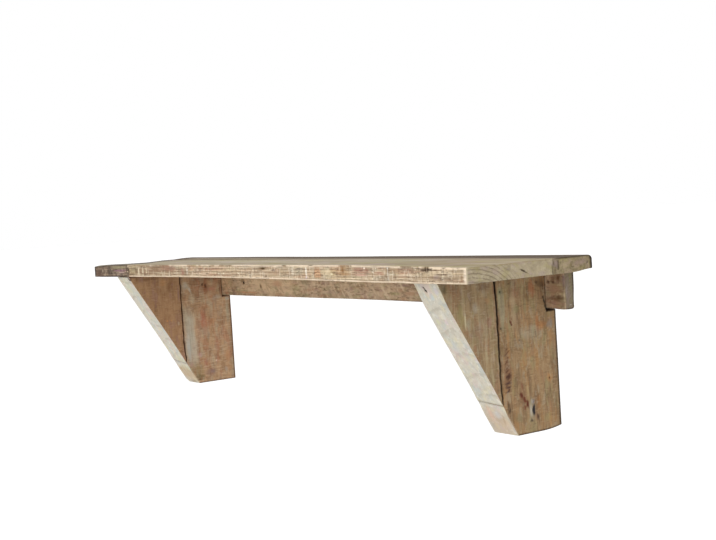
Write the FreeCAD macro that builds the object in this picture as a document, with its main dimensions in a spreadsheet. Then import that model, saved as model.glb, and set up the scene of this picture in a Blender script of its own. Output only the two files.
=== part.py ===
"""Bracketed wall shelf in reclaimed timber.

The top is two boards, joined edge to edge with dowels. Each bracket is two upright joist pieces,
joined the same way and then cut on one diagonal that runs across both. A batten at the wall sits in
a notch in the back of each bracket and carries the wall screws.

Frame: millimetres, +X to the right along the shelf, +Y into the wall, +Z up. The origin is the
centre of the batten's wall face, so the wall is the plane y = 0.
"""
import FreeCAD, Part
import os

import Sketcher
from FreeCAD import Vector

# Driving sizes, in millimetres.
SIZES = {
    # Top
    "shelf_length": 1000,
    "front_board_width": 134,
    "back_board_width": 66,
    "top_thickness": 22,
    "left_overhang": 80,  # end of the top to the outer face of the bracket
    "right_overhang": 66,
    "front_arris_radius": 2,
    "back_edge_radius": 5,
    "back_underside_radius": 3,
    # Brackets
    "bracket_thickness": 44,
    "bracket_back_width": 98,
    "bracket_setback": 8,  # front edge of the top to the tip of the bracket
    "bracket_drop": 197,
    "foot_depth": 72,
    # Batten and the notch that it sits in
    "batten_height": 47,
    "batten_thickness": 16,
    "batten_end_inset": 32,  # end of the top to the end of the batten
    "notch_room_below": 3,
    "notch_room_in_front": 0.5,
    "wall_hole_spacing": 600,
    "wall_hole_diameter": 6,
    # Worn and eased edges
    "board_easing": 1,
    "joint_easing": 0.8,
    # Dowels
    "dowel_diameter": 8,
    "dowel_clearance": 0.05,  # all round
    "blind_hole_room": 1,  # past the end of a dowel or screw
    "joint_dowel_length": 40,
    "upper_joint_dowel_drop": 35,
    "lower_joint_dowel_drop": 98,
    "top_dowel_length": 30,
    "top_dowel_in_top": 12,
    "front_dowel_offset": 37,  # from the joint of the bracket's two boards
    "batten_dowel_diameter": 6,
    "batten_dowel_spacing": 400,
    # Screws through the batten into the brackets
    "screw_length": 35,
    "screw_diameter": 4,
    "screw_head_diameter": 8,
    "screw_head_sink": 0.3,  # below the batten's wall face
    "screw_tip_length": 6,
    "screw_pitch": 22,
    "screw_clearance": 0.05,  # all round
    "recess_span": 4.4,
    "recess_width": 1.1,
    "recess_depth": 1.6,
}

COUNTERSINK_ANGLE = 90
NEAR = 1e-4

# Expressions for the lines that several pieces share.
HALF_LENGTH = "sizes.shelf_length / 2"
UNDERSIDE = "sizes.batten_height / 2"
BRACKET_DEPTH = "(sizes.front_board_width + sizes.back_board_width - sizes.bracket_setback)"
NOTCH_DEPTH = "(sizes.batten_thickness + sizes.notch_room_in_front)"
NOTCH_HEIGHT = "(sizes.batten_height + sizes.notch_room_below)"
BATTEN_HALF_LENGTH = f"({HALF_LENGTH} - sizes.batten_end_inset)"
# Drop of the diagonal where it crosses the joint of a bracket's two boards.
DIAGONAL_AT_JOINT = (
    f"(sizes.bracket_drop * ({BRACKET_DEPTH} - sizes.bracket_back_width)"
    f" / ({BRACKET_DEPTH} - sizes.foot_depth))"
)
BRACKET_FACE = {
    "left": f"(-{HALF_LENGTH} + sizes.left_overhang)",
    "right": f"({HALF_LENGTH} - sizes.right_overhang - sizes.bracket_thickness)",
}
BRACKET_CENTRE = {
    side: f"({face} + sizes.bracket_thickness / 2)" for side, face in BRACKET_FACE.items()
}
SCREW_HOLE_DEPTH = "(sizes.screw_length + sizes.screw_head_sink + sizes.blind_hole_room)"
JOINT_HOLE_DEPTH = "sizes.joint_dowel_length / 2 + sizes.blind_hole_room"
TOP_HOLE_IN_TOP = "sizes.top_dowel_in_top + sizes.blind_hole_room"
TOP_HOLE_BELOW = "sizes.top_dowel_length - sizes.top_dowel_in_top + sizes.blind_hole_room"
DOWEL_HOLE = "sizes.dowel_diameter + 2 * sizes.dowel_clearance"
BATTEN_DOWEL_HOLE = "sizes.batten_dowel_diameter + 2 * sizes.dowel_clearance"
SCREW_SHANK_HOLE = "sizes.screw_diameter + 2 * sizes.screw_clearance"

# Upright dowels of a bracket, as distances from the wall: one clear of the screws and under the
# back board of the top, one between the two joints, one in the bracket's front board.
BACK_DOWEL = f"(({SCREW_HOLE_DEPTH} + sizes.back_board_width) / 2)"
MIDDLE_DOWEL = "((sizes.back_board_width + sizes.bracket_back_width) / 2)"
FRONT_DOWEL = "(sizes.bracket_back_width + sizes.front_dowel_offset)"

doc = FreeCAD.newDocument("wall_shelf")
sheet = doc.addObject("Spreadsheet::Sheet", "sizes")
for row, (alias, size) in enumerate(SIZES.items(), start=1):
    sheet.set(f"A{row}", alias.replace("_", " "))
    sheet.set(f"B{row}", str(size))
    sheet.setAlias(f"B{row}", alias)
doc.recompute()

subparts = []


def value_of(expression):
    """Number that an expression over the sheet gives."""
    return float(sheet.evalExpression(expression.replace("sizes.", "")))


def new_body(label, x="0", y="0", z="0"):
    """Empty body whose placement is bound to three expressions."""
    body = doc.addObject("PartDesign::Body", label)
    for axis, expression in zip("xyz", (x, y, z)):
        body.setExpression(f"Placement.Base.{axis}", expression)
    subparts.append(body)
    return body


def new_sketch(body, name, plane_role, offset="0"):
    """Sketch on one of the body's own planes, moved along the plane's normal."""
    plane = next(feature for feature in body.Origin.OriginFeatures if feature.Role == plane_role)
    sketch = body.newObject("Sketcher::SketchObject", name)
    sketch.AttachmentSupport = [(plane, "")]
    sketch.MapMode = "FlatFace"
    sketch.setExpression("AttachmentOffset.Base.z", offset)
    return sketch


def bind_point(sketch, element, point, across, up):
    """Hold a point of a sketch at two expressions, measured from the sketch's origin."""
    for kind, expression in (("DistanceX", across), ("DistanceY", up)):
        name = f"{kind}_{element}"
        held = Sketcher.Constraint(kind, -1, 1, element, point, value_of(expression))
        sketch.renameConstraint(sketch.addConstraint(held), name)
        sketch.setExpression(f"Constraints.{name}", expression)


def draw_outline(sketch, corners):
    """Closed outline through corners that are pairs of expressions."""
    points = [Vector(value_of(across), value_of(up), 0) for across, up in corners]
    lines = [
        sketch.addGeometry(Part.LineSegment(start, end), False)
        for start, end in zip(points, points[1:] + points[:1])
    ]
    for line, following in zip(lines, lines[1:] + lines[:1]):
        sketch.addConstraint(Sketcher.Constraint("Coincident", line, 2, following, 1))
    for line, (across, up) in zip(lines, corners):
        bind_point(sketch, line, 1, across, up)


def draw_rectangle(sketch, left, right, bottom, top):
    """Rectangle between four expressions."""
    draw_outline(sketch, [(left, bottom), (right, bottom), (right, top), (left, top)])


def draw_circles(sketch, centres, diameter):
    """Circle of one diameter round each centre."""
    for across, up in centres:
        centre = Vector(value_of(across), value_of(up), 0)
        radius = value_of(f"({diameter}) / 2")
        circle = sketch.addGeometry(Part.Circle(centre, Vector(0, 0, 1), radius), False)
        bind_point(sketch, circle, 3, across, up)
        name = f"Diameter_{circle}"
        held = Sketcher.Constraint("Diameter", circle, 2 * radius)
        sketch.renameConstraint(sketch.addConstraint(held), name)
        sketch.setExpression(f"Constraints.{name}", diameter)


def pad(body, name, sketch, length, symmetric=False):
    """Solid raised from a sketch along its normal, or half each way."""
    feature = body.newObject("PartDesign::Pad", name)
    feature.Profile = sketch
    feature.setExpression("Length", length)
    if symmetric:
        feature.SideType = "Symmetric"
    sketch.Visibility = False
    doc.recompute()
    return feature


def require_cut(feature, before):
    """Stop if a cut took nothing away."""
    doc.recompute()
    if not feature.Shape.Volume < before - NEAR:
        raise RuntimeError(f"{feature.Name} cuts nothing")


def pocket(body, name, sketch, depth, along_normal=False):
    """Pocket cut from a sketch, against the sketch's normal unless told otherwise."""
    before = body.Shape.Volume
    feature = body.newObject("PartDesign::Pocket", name)
    feature.Profile = sketch
    feature.setExpression("Length", depth)
    feature.Reversed = along_normal
    sketch.Visibility = False
    require_cut(feature, before)
    return feature


def edges_on(shape, **where):
    """Names of the edges that lie wholly at the given local x, y or z."""
    names = []
    for number, edge in enumerate(shape.Edges, start=1):
        box = edge.BoundBox
        ends = {"x": (box.XMin, box.XMax), "y": (box.YMin, box.YMax), "z": (box.ZMin, box.ZMax)}
        if all(abs(end - wanted) < NEAR for axis, wanted in where.items() for end in ends[axis]):
            names.append(f"Edge{number}")
    return names


def dress_edges(body, name, kind, size, places):
    """Fillet or chamfer on the edges at each place, a place being local coordinates."""
    base = body.Tip
    names = [edge for place in places for edge in edges_on(base.Shape, **place)]
    feature = body.newObject(f"PartDesign::{kind}", name)
    feature.Base = (base, sorted(set(names)))
    feature.setExpression("Radius" if kind == "Fillet" else "Size", size)
    doc.recompute()
    return feature


def drill_countersunk(body, name, sketch):
    """Screw holes through the batten, countersunk on the wall face for heads that sit below it."""
    before = body.Shape.Volume
    doc.recompute()
    hole = body.newObject("PartDesign::Hole", name)
    hole.Profile = sketch
    hole.Reversed = True
    hole.DepthType = "ThroughAll"
    hole.DrillPoint = "Flat"
    hole.setExpression("Diameter", SCREW_SHANK_HOLE)
    hole.HoleCutType = "Countersink"
    hole.HoleCutCustomValues = True
    hole.HoleCutCountersinkAngle = COUNTERSINK_ANGLE
    # A 90 degree cone widens by twice its depth, so the sink counts twice.
    hole.setExpression(
        "HoleCutDiameter",
        "sizes.screw_head_diameter + 2 * sizes.screw_head_sink + 2 * sizes.screw_clearance",
    )
    sketch.Visibility = False
    require_cut(hole, before)


def top_dowel_places(*distances):
    """Centres of upright dowels at both brackets, at the given distances from the wall."""
    return [
        (BRACKET_CENTRE[side], f"-{distance}") for side in ("left", "right") for distance in distances
    ]


def joint_dowel_stations():
    """Places along the top of the dowels in its joint: one in each overhang, one midway."""
    left_end = f"(-{HALF_LENGTH} + sizes.left_overhang / 2)"
    midway = f"(({BRACKET_CENTRE['left']} + {BRACKET_CENTRE['right']}) / 2)"
    right_end = f"({HALF_LENGTH} - sizes.right_overhang / 2)"
    return [left_end, midway, right_end]


def batten_dowel_stations():
    """Places along the batten of the dowels that rise into the top."""
    return ["-sizes.batten_dowel_spacing / 2", "sizes.batten_dowel_spacing / 2"]


def build_top_back_board():
    """Board of the top at the wall, with its long back edge rounded by wear."""
    body = new_body("top_back_board", z=UNDERSIDE)
    outline = new_sketch(body, "back_board_outline", "XY_Plane")
    draw_rectangle(outline, f"-{HALF_LENGTH}", HALF_LENGTH, "-sizes.back_board_width", "0")
    pad(body, "back_board_blank", outline, "sizes.top_thickness")

    half_length = value_of(HALF_LENGTH)
    thickness = value_of("sizes.top_thickness")
    joint = value_of("-sizes.back_board_width")
    dress_edges(body, "back_edge_wear", "Fillet", "sizes.back_edge_radius", [{"y": 0, "z": thickness}])
    dress_edges(body, "back_underside_wear", "Fillet", "sizes.back_underside_radius", [{"y": 0, "z": 0}])
    dress_edges(body, "back_board_easing", "Chamfer", "sizes.joint_easing",
                [{"y": joint, "z": thickness}])
    dress_edges(body, "back_board_end_easing", "Chamfer", "sizes.board_easing",
                [{"x": half_length}, {"x": -half_length}])

    joint_holes = new_sketch(body, "back_board_joint_holes", "XZ_Plane", "sizes.back_board_width")
    centres = [(station, "sizes.top_thickness / 2") for station in joint_dowel_stations()]
    draw_circles(joint_holes, centres, DOWEL_HOLE)
    pocket(body, "back_board_joint_bores", joint_holes, JOINT_HOLE_DEPTH)

    bracket_holes = new_sketch(body, "back_board_bracket_holes", "XY_Plane")
    draw_circles(bracket_holes, top_dowel_places(BACK_DOWEL), DOWEL_HOLE)
    pocket(body, "back_board_bracket_bores", bracket_holes, TOP_HOLE_IN_TOP, along_normal=True)

    batten_holes = new_sketch(body, "back_board_batten_holes", "XY_Plane")
    centres = [(station, "-sizes.batten_thickness / 2") for station in batten_dowel_stations()]
    draw_circles(batten_holes, centres, BATTEN_DOWEL_HOLE)
    pocket(body, "back_board_batten_bores", batten_holes, TOP_HOLE_IN_TOP, along_normal=True)


def build_top_front_board():
    """Wide front board of the top."""
    body = new_body("top_front_board", y="-sizes.back_board_width", z=UNDERSIDE)
    outline = new_sketch(body, "front_board_outline", "XY_Plane")
    draw_rectangle(outline, f"-{HALF_LENGTH}", HALF_LENGTH, "-sizes.front_board_width", "0")
    pad(body, "front_board_blank", outline, "sizes.top_thickness")

    half_length = value_of(HALF_LENGTH)
    thickness = value_of("sizes.top_thickness")
    front = value_of("-sizes.front_board_width")
    dress_edges(body, "front_arris", "Fillet", "sizes.front_arris_radius",
                [{"y": front, "z": thickness}, {"y": front, "z": 0}])
    dress_edges(body, "front_board_easing", "Chamfer", "sizes.joint_easing",
                [{"y": 0, "z": thickness}])
    dress_edges(body, "front_board_end_easing", "Chamfer", "sizes.board_easing",
                [{"x": half_length}, {"x": -half_length}])

    joint_holes = new_sketch(body, "front_board_joint_holes", "XZ_Plane")
    centres = [(station, "sizes.top_thickness / 2") for station in joint_dowel_stations()]
    draw_circles(joint_holes, centres, DOWEL_HOLE)
    pocket(body, "front_board_joint_bores", joint_holes, JOINT_HOLE_DEPTH, along_normal=True)

    bracket_holes = new_sketch(body, "front_board_bracket_holes", "XY_Plane")
    distances = [f"({distance} - sizes.back_board_width)" for distance in (MIDDLE_DOWEL, FRONT_DOWEL)]
    draw_circles(bracket_holes, top_dowel_places(*distances), DOWEL_HOLE)
    pocket(body, "front_board_bracket_bores", bracket_holes, TOP_HOLE_IN_TOP, along_normal=True)


def build_bracket_back_board(side):
    """Upright board of a bracket at the wall: notched for the batten, cut to the diagonal below."""
    body = new_body(f"{side}_bracket_back_board", x=BRACKET_FACE[side], z=UNDERSIDE)
    profile = new_sketch(body, f"{side}_back_board_profile", "YZ_Plane")
    draw_outline(profile, [
        (f"-{NOTCH_DEPTH}", "0"),
        ("-sizes.bracket_back_width", "0"),
        ("-sizes.bracket_back_width", f"-{DIAGONAL_AT_JOINT}"),
        ("-sizes.foot_depth", "-sizes.bracket_drop"),
        ("0", "-sizes.bracket_drop"),
        ("0", f"-{NOTCH_HEIGHT}"),
        (f"-{NOTCH_DEPTH}", f"-{NOTCH_HEIGHT}"),
    ])
    pad(body, f"{side}_back_board_blank", profile, "sizes.bracket_thickness")

    faces = (0, value_of("sizes.bracket_thickness"))
    joint = value_of("-sizes.bracket_back_width")
    dress_edges(body, f"{side}_back_board_arrises", "Chamfer", "sizes.board_easing",
                [{"x": face, "y": 0} for face in faces])
    dress_edges(body, f"{side}_back_board_easing", "Chamfer", "sizes.joint_easing",
                [{"x": face, "y": joint} for face in faces])

    centre = "sizes.bracket_thickness / 2"
    joint_holes = new_sketch(body, f"{side}_back_board_joint_holes", "XZ_Plane",
                             "sizes.bracket_back_width")
    draw_circles(joint_holes, bracket_joint_dowels(centre), DOWEL_HOLE)
    pocket(body, f"{side}_back_board_joint_bores", joint_holes, JOINT_HOLE_DEPTH)

    top_holes = new_sketch(body, f"{side}_back_board_top_holes", "XY_Plane")
    centres = [(centre, f"-{distance}") for distance in (BACK_DOWEL, MIDDLE_DOWEL)]
    draw_circles(top_holes, centres, DOWEL_HOLE)
    pocket(body, f"{side}_back_board_top_bores", top_holes, TOP_HOLE_BELOW)

    screw_holes = new_sketch(body, f"{side}_back_board_screw_holes", "XZ_Plane", NOTCH_DEPTH)
    centres = [(centre, f"({height} - {UNDERSIDE})") for height in screw_heights()]
    draw_circles(screw_holes, centres, SCREW_SHANK_HOLE)
    pocket(body, f"{side}_back_board_screw_bores", screw_holes, f"{SCREW_HOLE_DEPTH} - {NOTCH_DEPTH}",
           along_normal=True)


def build_bracket_front_board(side):
    """Wedge-shaped front board of a bracket, cut on the same diagonal as the board behind it."""
    body = new_body(f"{side}_bracket_front_board", x=BRACKET_FACE[side],
                    y="-sizes.bracket_back_width", z=UNDERSIDE)
    profile = new_sketch(body, f"{side}_front_board_profile", "YZ_Plane")
    draw_outline(profile, [
        ("0", "0"),
        (f"-({BRACKET_DEPTH} - sizes.bracket_back_width)", "0"),
        ("0", f"-{DIAGONAL_AT_JOINT}"),
    ])
    pad(body, f"{side}_front_board_blank", profile, "sizes.bracket_thickness")

    faces = (0, value_of("sizes.bracket_thickness"))
    dress_edges(body, f"{side}_front_board_easing", "Chamfer", "sizes.joint_easing",
                [{"x": face, "y": 0} for face in faces])

    centre = "sizes.bracket_thickness / 2"
    joint_holes = new_sketch(body, f"{side}_front_board_joint_holes", "XZ_Plane")
    draw_circles(joint_holes, bracket_joint_dowels(centre), DOWEL_HOLE)
    pocket(body, f"{side}_front_board_joint_bores", joint_holes, JOINT_HOLE_DEPTH, along_normal=True)

    top_holes = new_sketch(body, f"{side}_front_board_top_holes", "XY_Plane")
    draw_circles(top_holes, [(centre, "-sizes.front_dowel_offset")], DOWEL_HOLE)
    pocket(body, f"{side}_front_board_top_bores", top_holes, TOP_HOLE_BELOW)


def bracket_joint_dowels(across):
    """Centres of the dowels between a bracket's two boards, down from the top's underside."""
    return [(across, "-sizes.upper_joint_dowel_drop"), (across, "-sizes.lower_joint_dowel_drop")]


def screw_heights():
    """Heights of the two screws of a bracket, above and below the batten's centre."""
    return ["-sizes.screw_pitch / 2", "sizes.screw_pitch / 2"]


def build_wall_batten():
    """Batten at the wall: it fills the notches and runs past both brackets."""
    body = new_body("wall_batten")
    outline = new_sketch(body, "batten_outline", "XZ_Plane")
    draw_rectangle(outline, f"-{BATTEN_HALF_LENGTH}", BATTEN_HALF_LENGTH, f"-{UNDERSIDE}", UNDERSIDE)
    pad(body, "batten_blank", outline, "sizes.batten_thickness")

    end = value_of(BATTEN_HALF_LENGTH)
    front = value_of("-sizes.batten_thickness")
    bottom = value_of(f"-{UNDERSIDE}")
    dress_edges(body, "batten_arrises", "Chamfer", "sizes.board_easing",
                [{"y": front, "z": bottom}, {"y": 0, "z": bottom},
                 {"x": end, "y": front}, {"x": -end, "y": front}])

    wall_holes = new_sketch(body, "batten_wall_holes", "XZ_Plane")
    centres = [("-sizes.wall_hole_spacing / 2", "0"), ("sizes.wall_hole_spacing / 2", "0")]
    draw_circles(wall_holes, centres, "sizes.wall_hole_diameter")
    pocket(body, "batten_wall_bores", wall_holes, "sizes.batten_thickness", along_normal=True)

    dowel_holes = new_sketch(body, "batten_dowel_holes", "XY_Plane", UNDERSIDE)
    centres = [(station, "-sizes.batten_thickness / 2") for station in batten_dowel_stations()]
    draw_circles(dowel_holes, centres, BATTEN_DOWEL_HOLE)
    pocket(body, "batten_dowel_bores", dowel_holes, TOP_HOLE_BELOW)

    screw_holes = new_sketch(body, "batten_screw_holes", "XZ_Plane")
    centres = [(centre, height) for centre in BRACKET_CENTRE.values() for height in screw_heights()]
    draw_circles(screw_holes, centres, SCREW_SHANK_HOLE)
    drill_countersunk(body, "batten_countersinks", screw_holes)


def build_dowels(body, plane_role, offset, centres, diameter, length, symmetric):
    """Group of beech dowels, all of one length."""
    ends = new_sketch(body, f"{body.Name}_ends", plane_role, offset)
    draw_circles(ends, centres, diameter)
    pad(body, f"{body.Name}_rods", ends, length, symmetric)


def build_joint_dowels():
    """Level dowels across the joint of the top and across each bracket's joint."""
    top = new_body("top_joint_dowels", y="-sizes.back_board_width",
                   z=f"{UNDERSIDE} + sizes.top_thickness / 2")
    stations = [(station, "0") for station in joint_dowel_stations()]
    build_dowels(top, "XZ_Plane", "0", stations, "sizes.dowel_diameter",
                 "sizes.joint_dowel_length", symmetric=True)
    for side, centre in BRACKET_CENTRE.items():
        bracket = new_body(f"{side}_bracket_joint_dowels", x=centre,
                           y="-sizes.bracket_back_width", z=UNDERSIDE)
        build_dowels(bracket, "XZ_Plane", "0", bracket_joint_dowels("0"), "sizes.dowel_diameter",
                     "sizes.joint_dowel_length", symmetric=True)


def build_top_dowels():
    """Upright dowels that hold the top down on the brackets and on the batten."""
    foot = "-(sizes.top_dowel_length - sizes.top_dowel_in_top)"
    distances = (BACK_DOWEL, MIDDLE_DOWEL, FRONT_DOWEL)
    for side, centre in BRACKET_CENTRE.items():
        bracket = new_body(f"{side}_bracket_top_dowels", x=centre, z=UNDERSIDE)
        centres = [("0", f"-{distance}") for distance in distances]
        build_dowels(bracket, "XY_Plane", foot, centres, "sizes.dowel_diameter",
                     "sizes.top_dowel_length", symmetric=False)
    batten = new_body("batten_top_dowels", y="-sizes.batten_thickness / 2", z=UNDERSIDE)
    stations = [(station, "0") for station in batten_dowel_stations()]
    build_dowels(batten, "XY_Plane", foot, stations, "sizes.batten_dowel_diameter",
                 "sizes.top_dowel_length", symmetric=False)


def build_notch_screws(side):
    """Two countersunk wood screws, one above the other, from the batten's wall face."""
    body = new_body(f"{side}_notch_screws", x=BRACKET_CENTRE[side], y="-sizes.screw_head_sink",
                    z="-sizes.screw_pitch / 2")
    head_radius = "sizes.screw_head_diameter / 2"
    shank_radius = "sizes.screw_diameter / 2"
    profile = new_sketch(body, f"{side}_screw_profile", "YZ_Plane")
    # The head's cone is at 45 degrees, so it is as deep as it is wider than the shank.
    draw_outline(profile, [
        ("0", "0"),
        ("0", head_radius),
        (f"-({head_radius} - {shank_radius})", shank_radius),
        ("-(sizes.screw_length - sizes.screw_tip_length)", shank_radius),
        ("-sizes.screw_length", "0"),
    ])
    turned = body.newObject("PartDesign::Revolution", f"{side}_screw_turned")
    turned.Profile = profile
    turned.ReferenceAxis = (profile, ["H_Axis"])
    profile.Visibility = False
    doc.recompute()

    recess = new_sketch(body, f"{side}_screw_recess", "XZ_Plane")
    arm = "sizes.recess_span / 2"
    web = "sizes.recess_width / 2"
    draw_outline(recess, [
        (web, web), (web, arm), (f"-{web}", arm),
        (f"-{web}", web), (f"-{arm}", web), (f"-{arm}", f"-{web}"),
        (f"-{web}", f"-{web}"), (f"-{web}", f"-{arm}"), (web, f"-{arm}"),
        (web, f"-{web}"), (arm, f"-{web}"), (arm, web),
    ])
    cross = pocket(body, f"{side}_screw_cross", recess, "sizes.recess_depth", along_normal=True)

    pair = body.newObject("PartDesign::LinearPattern", f"{side}_screw_pair")
    pair.Originals = [turned, cross]
    up = next(feature for feature in body.Origin.OriginFeatures if feature.Role == "Z_Axis")
    pair.Direction = (up, [""])
    pair.setExpression("Length", "sizes.screw_pitch")
    pair.Occurrences = 2
    body.Tip = pair
    doc.recompute()


def check_and_write():
    """Stop on any failed object or bad shape, then write each sub-part."""
    doc.recompute()
    for item in doc.Objects:
        if {"Invalid", "Error"} & set(item.State):
            raise RuntimeError(f"{item.Name} did not rebuild")
    for body in subparts:
        if body.Shape.isNull() or not body.Shape.isValid() or not body.Shape.Solids:
            raise RuntimeError(f"{body.Label} has no valid solid")
    os.makedirs("parts", exist_ok=True)
    for body in subparts:
        body.Shape.exportStep(os.path.join("parts", f"{body.Label}.step"))
        print(f"{body.Label}: {len(body.Shape.Solids)} solids, {body.Shape.Volume / 1000:.1f} cm3")


build_top_back_board()
build_top_front_board()
for bracket_side in BRACKET_FACE:
    build_bracket_back_board(bracket_side)
    build_bracket_front_board(bracket_side)
build_wall_batten()
build_joint_dowels()
build_top_dowels()
for bracket_side in BRACKET_FACE:
    build_notch_screws(bracket_side)
check_and_write()
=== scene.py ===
"""Dresses a wall shelf of reclaimed pine: seven timbers, and the dowels and screws that join them.

Each timber is the skin of a block that is cut into cells by stations. The skin is folded to the
board's own outline, its arrises are rounded over, saw and weather are cut into its faces, and its
knots, nail holes and stains are pressed and painted in where they lie. Lengths are millimetres in
the row's frame until a mesh is made from them.
"""

import logging
import math
from collections.abc import Sequence
from dataclasses import dataclass, field
from enum import Enum, IntEnum
from itertools import product

import bpy
import numpy as np
from mathutils import Matrix, Vector


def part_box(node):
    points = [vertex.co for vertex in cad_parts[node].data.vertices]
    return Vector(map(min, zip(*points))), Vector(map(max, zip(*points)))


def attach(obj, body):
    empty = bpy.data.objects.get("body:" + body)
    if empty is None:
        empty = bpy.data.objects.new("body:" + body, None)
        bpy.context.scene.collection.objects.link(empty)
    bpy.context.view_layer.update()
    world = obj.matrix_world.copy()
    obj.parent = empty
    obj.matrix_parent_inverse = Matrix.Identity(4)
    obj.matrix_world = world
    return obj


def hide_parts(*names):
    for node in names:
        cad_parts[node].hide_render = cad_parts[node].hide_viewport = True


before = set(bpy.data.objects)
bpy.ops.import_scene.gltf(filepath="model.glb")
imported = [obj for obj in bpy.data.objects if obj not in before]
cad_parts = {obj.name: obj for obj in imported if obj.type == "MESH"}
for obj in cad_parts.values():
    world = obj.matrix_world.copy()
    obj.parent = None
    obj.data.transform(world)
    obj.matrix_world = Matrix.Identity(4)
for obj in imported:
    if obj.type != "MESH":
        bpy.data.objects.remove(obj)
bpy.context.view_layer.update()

Array = np.ndarray
log = logging.getLogger("shelf")

MM = 0.001  # metres
BODY = "root"
ARRIS_STEPS = (0.0, 0.45, 1.0, 1.8, 3.0)  # mm from an outer face: stations close enough to turn an arris
WAVE_PERIOD = 2 * math.pi / 20  # a Wave texture's own period at scale 1
MIX_A, MIX_B, MIX_COLOUR = 6, 7, 2  # a Mix node's colour sockets
HASH_STEPS = np.array((374761393, 668265263, 2147483629), dtype=np.int64)
HASH_STIR = 1274126177
SEED_STEP = 13.7  # noise features between the places where two seeds read the noise
ROUNDING_PASSES = 6  # enough for three arrises to settle where they meet
WANDER = (140.0, 45.0, 45.0)  # mm, the waves in which grain wanders, along it, across it and through it
BOARD_SHIFT = 97.0  # mm along the grain between one board's wood and the next one's
RING_STRETCH = 0.08  # share of a ring's unevenness that is left along the grain
TINT_STEP, TINT_START = 7.3, 2.0  # where a finish's tints read the noise, so that no two are alike


class Side(IntEnum):
    """The way a face of a board looks, in the order in which its skin is made."""

    LEFT = 0
    RIGHT = 1
    FRONT = 2
    BACK = 3
    UNDER = 4
    TOP = 5


class Grain(Enum):
    """The way a board's fibres run, as the turn that lays them along X."""

    LEVEL = (0.0, 0.0, 0.0)
    UPRIGHT = (0.0, -math.pi / 2, 0.0)


# ---------------------------------------------------------------------------------------- numbers


def linear(colour: str) -> tuple[float, float, float, float]:
    """Turns a colour written as sRGB hex into linear light.

    Args:
        colour: six hex digits, red first.

    Returns:
        Red, green, blue and a full alpha.
    """
    shares = [int(colour[start : start + 2], 16) / 255 for start in (0, 2, 4)]
    light = [share / 12.92 if share <= 0.04045 else ((share + 0.055) / 1.055) ** 2.4 for share in shares]
    return (*light, 1.0)


def noise(points: Array, size: Sequence[float], seed: int) -> Array:
    """Smooth noise, the same on every run.

    Args:
        points: places in millimetres, one row each.
        size: how large the noise's features are along X, Y and Z, in millimetres.
        seed: picks one noise among many.

    Returns:
        A value between -1 and 1 for each point.
    """
    spots = points / np.asarray(size) + SEED_STEP * seed
    cells = np.floor(spots).astype(np.int64)
    part = spots - cells
    ease = part * part * (3.0 - 2.0 * part)
    total = np.zeros(len(points))
    for corner in product((0, 1), repeat=3):
        key = (cells + corner) @ HASH_STEPS + seed * HASH_STIR
        key = (key ^ (key >> 13)) * HASH_STIR
        key = key ^ (key >> 16)
        share = np.prod(np.where(corner, ease, 1.0 - ease), axis=1)
        total += share * ((key & 0xFFFF) / 32767.5 - 1.0)
    return total


def ramp(values: Array, start: float, end: float) -> Array:
    """0 at start and 1 at end, with a smooth turn at both."""
    share = np.clip((values - start) / (end - start), 0.0, 1.0)
    return share * share * (3.0 - 2.0 * share)


def stations(marks: Sequence[float], pitch: float) -> Array:
    """Places along one axis where a block is cut.

    Args:
        marks: places that must be cut, from low to high. Extra cuts are made close to the outer two.
        pitch: the most room between two cuts, in millimetres.

    Returns:
        All places, from low to high.
    """
    edge = ARRIS_STEPS[-1]
    inner = [marks[0] + edge, *marks[1:-1], marks[-1] - edge]
    cuts = {marks[0] + step for step in ARRIS_STEPS} | {marks[-1] - step for step in ARRIS_STEPS}
    for low, high in zip(inner, inner[1:]):
        count = max(1, math.ceil((high - low) / pitch))
        cuts.update(low + (high - low) * step / count for step in range(count + 1))
    return np.array(sorted({round(cut, 6) for cut in cuts}))


# ------------------------------------------------------------------------------------------ skins


@dataclass
class Skin:
    """A closed surface of four-sided faces."""

    points: Array  # mm, one row for each point
    quads: Array  # point numbers, four to a face, anticlockwise from outside
    sides: Array  # the Side that each face was made on

    def normals(self) -> Array:
        """The outward direction at each point, from the faces around it.

        Returns:
            One direction for each point.
        """
        corners = self.points[self.quads]
        across = np.cross(corners[:, 2] - corners[:, 0], corners[:, 3] - corners[:, 1])
        total = np.zeros_like(self.points)
        for axis in range(3):
            for corner in range(4):
                total[:, axis] += np.bincount(self.quads[:, corner], across[:, axis], len(total))
        return total / np.maximum(np.linalg.norm(total, axis=1, keepdims=True), 1e-9)

    def centres(self) -> Array:
        """The middle of each face."""
        return self.points[self.quads].mean(axis=1)


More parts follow.
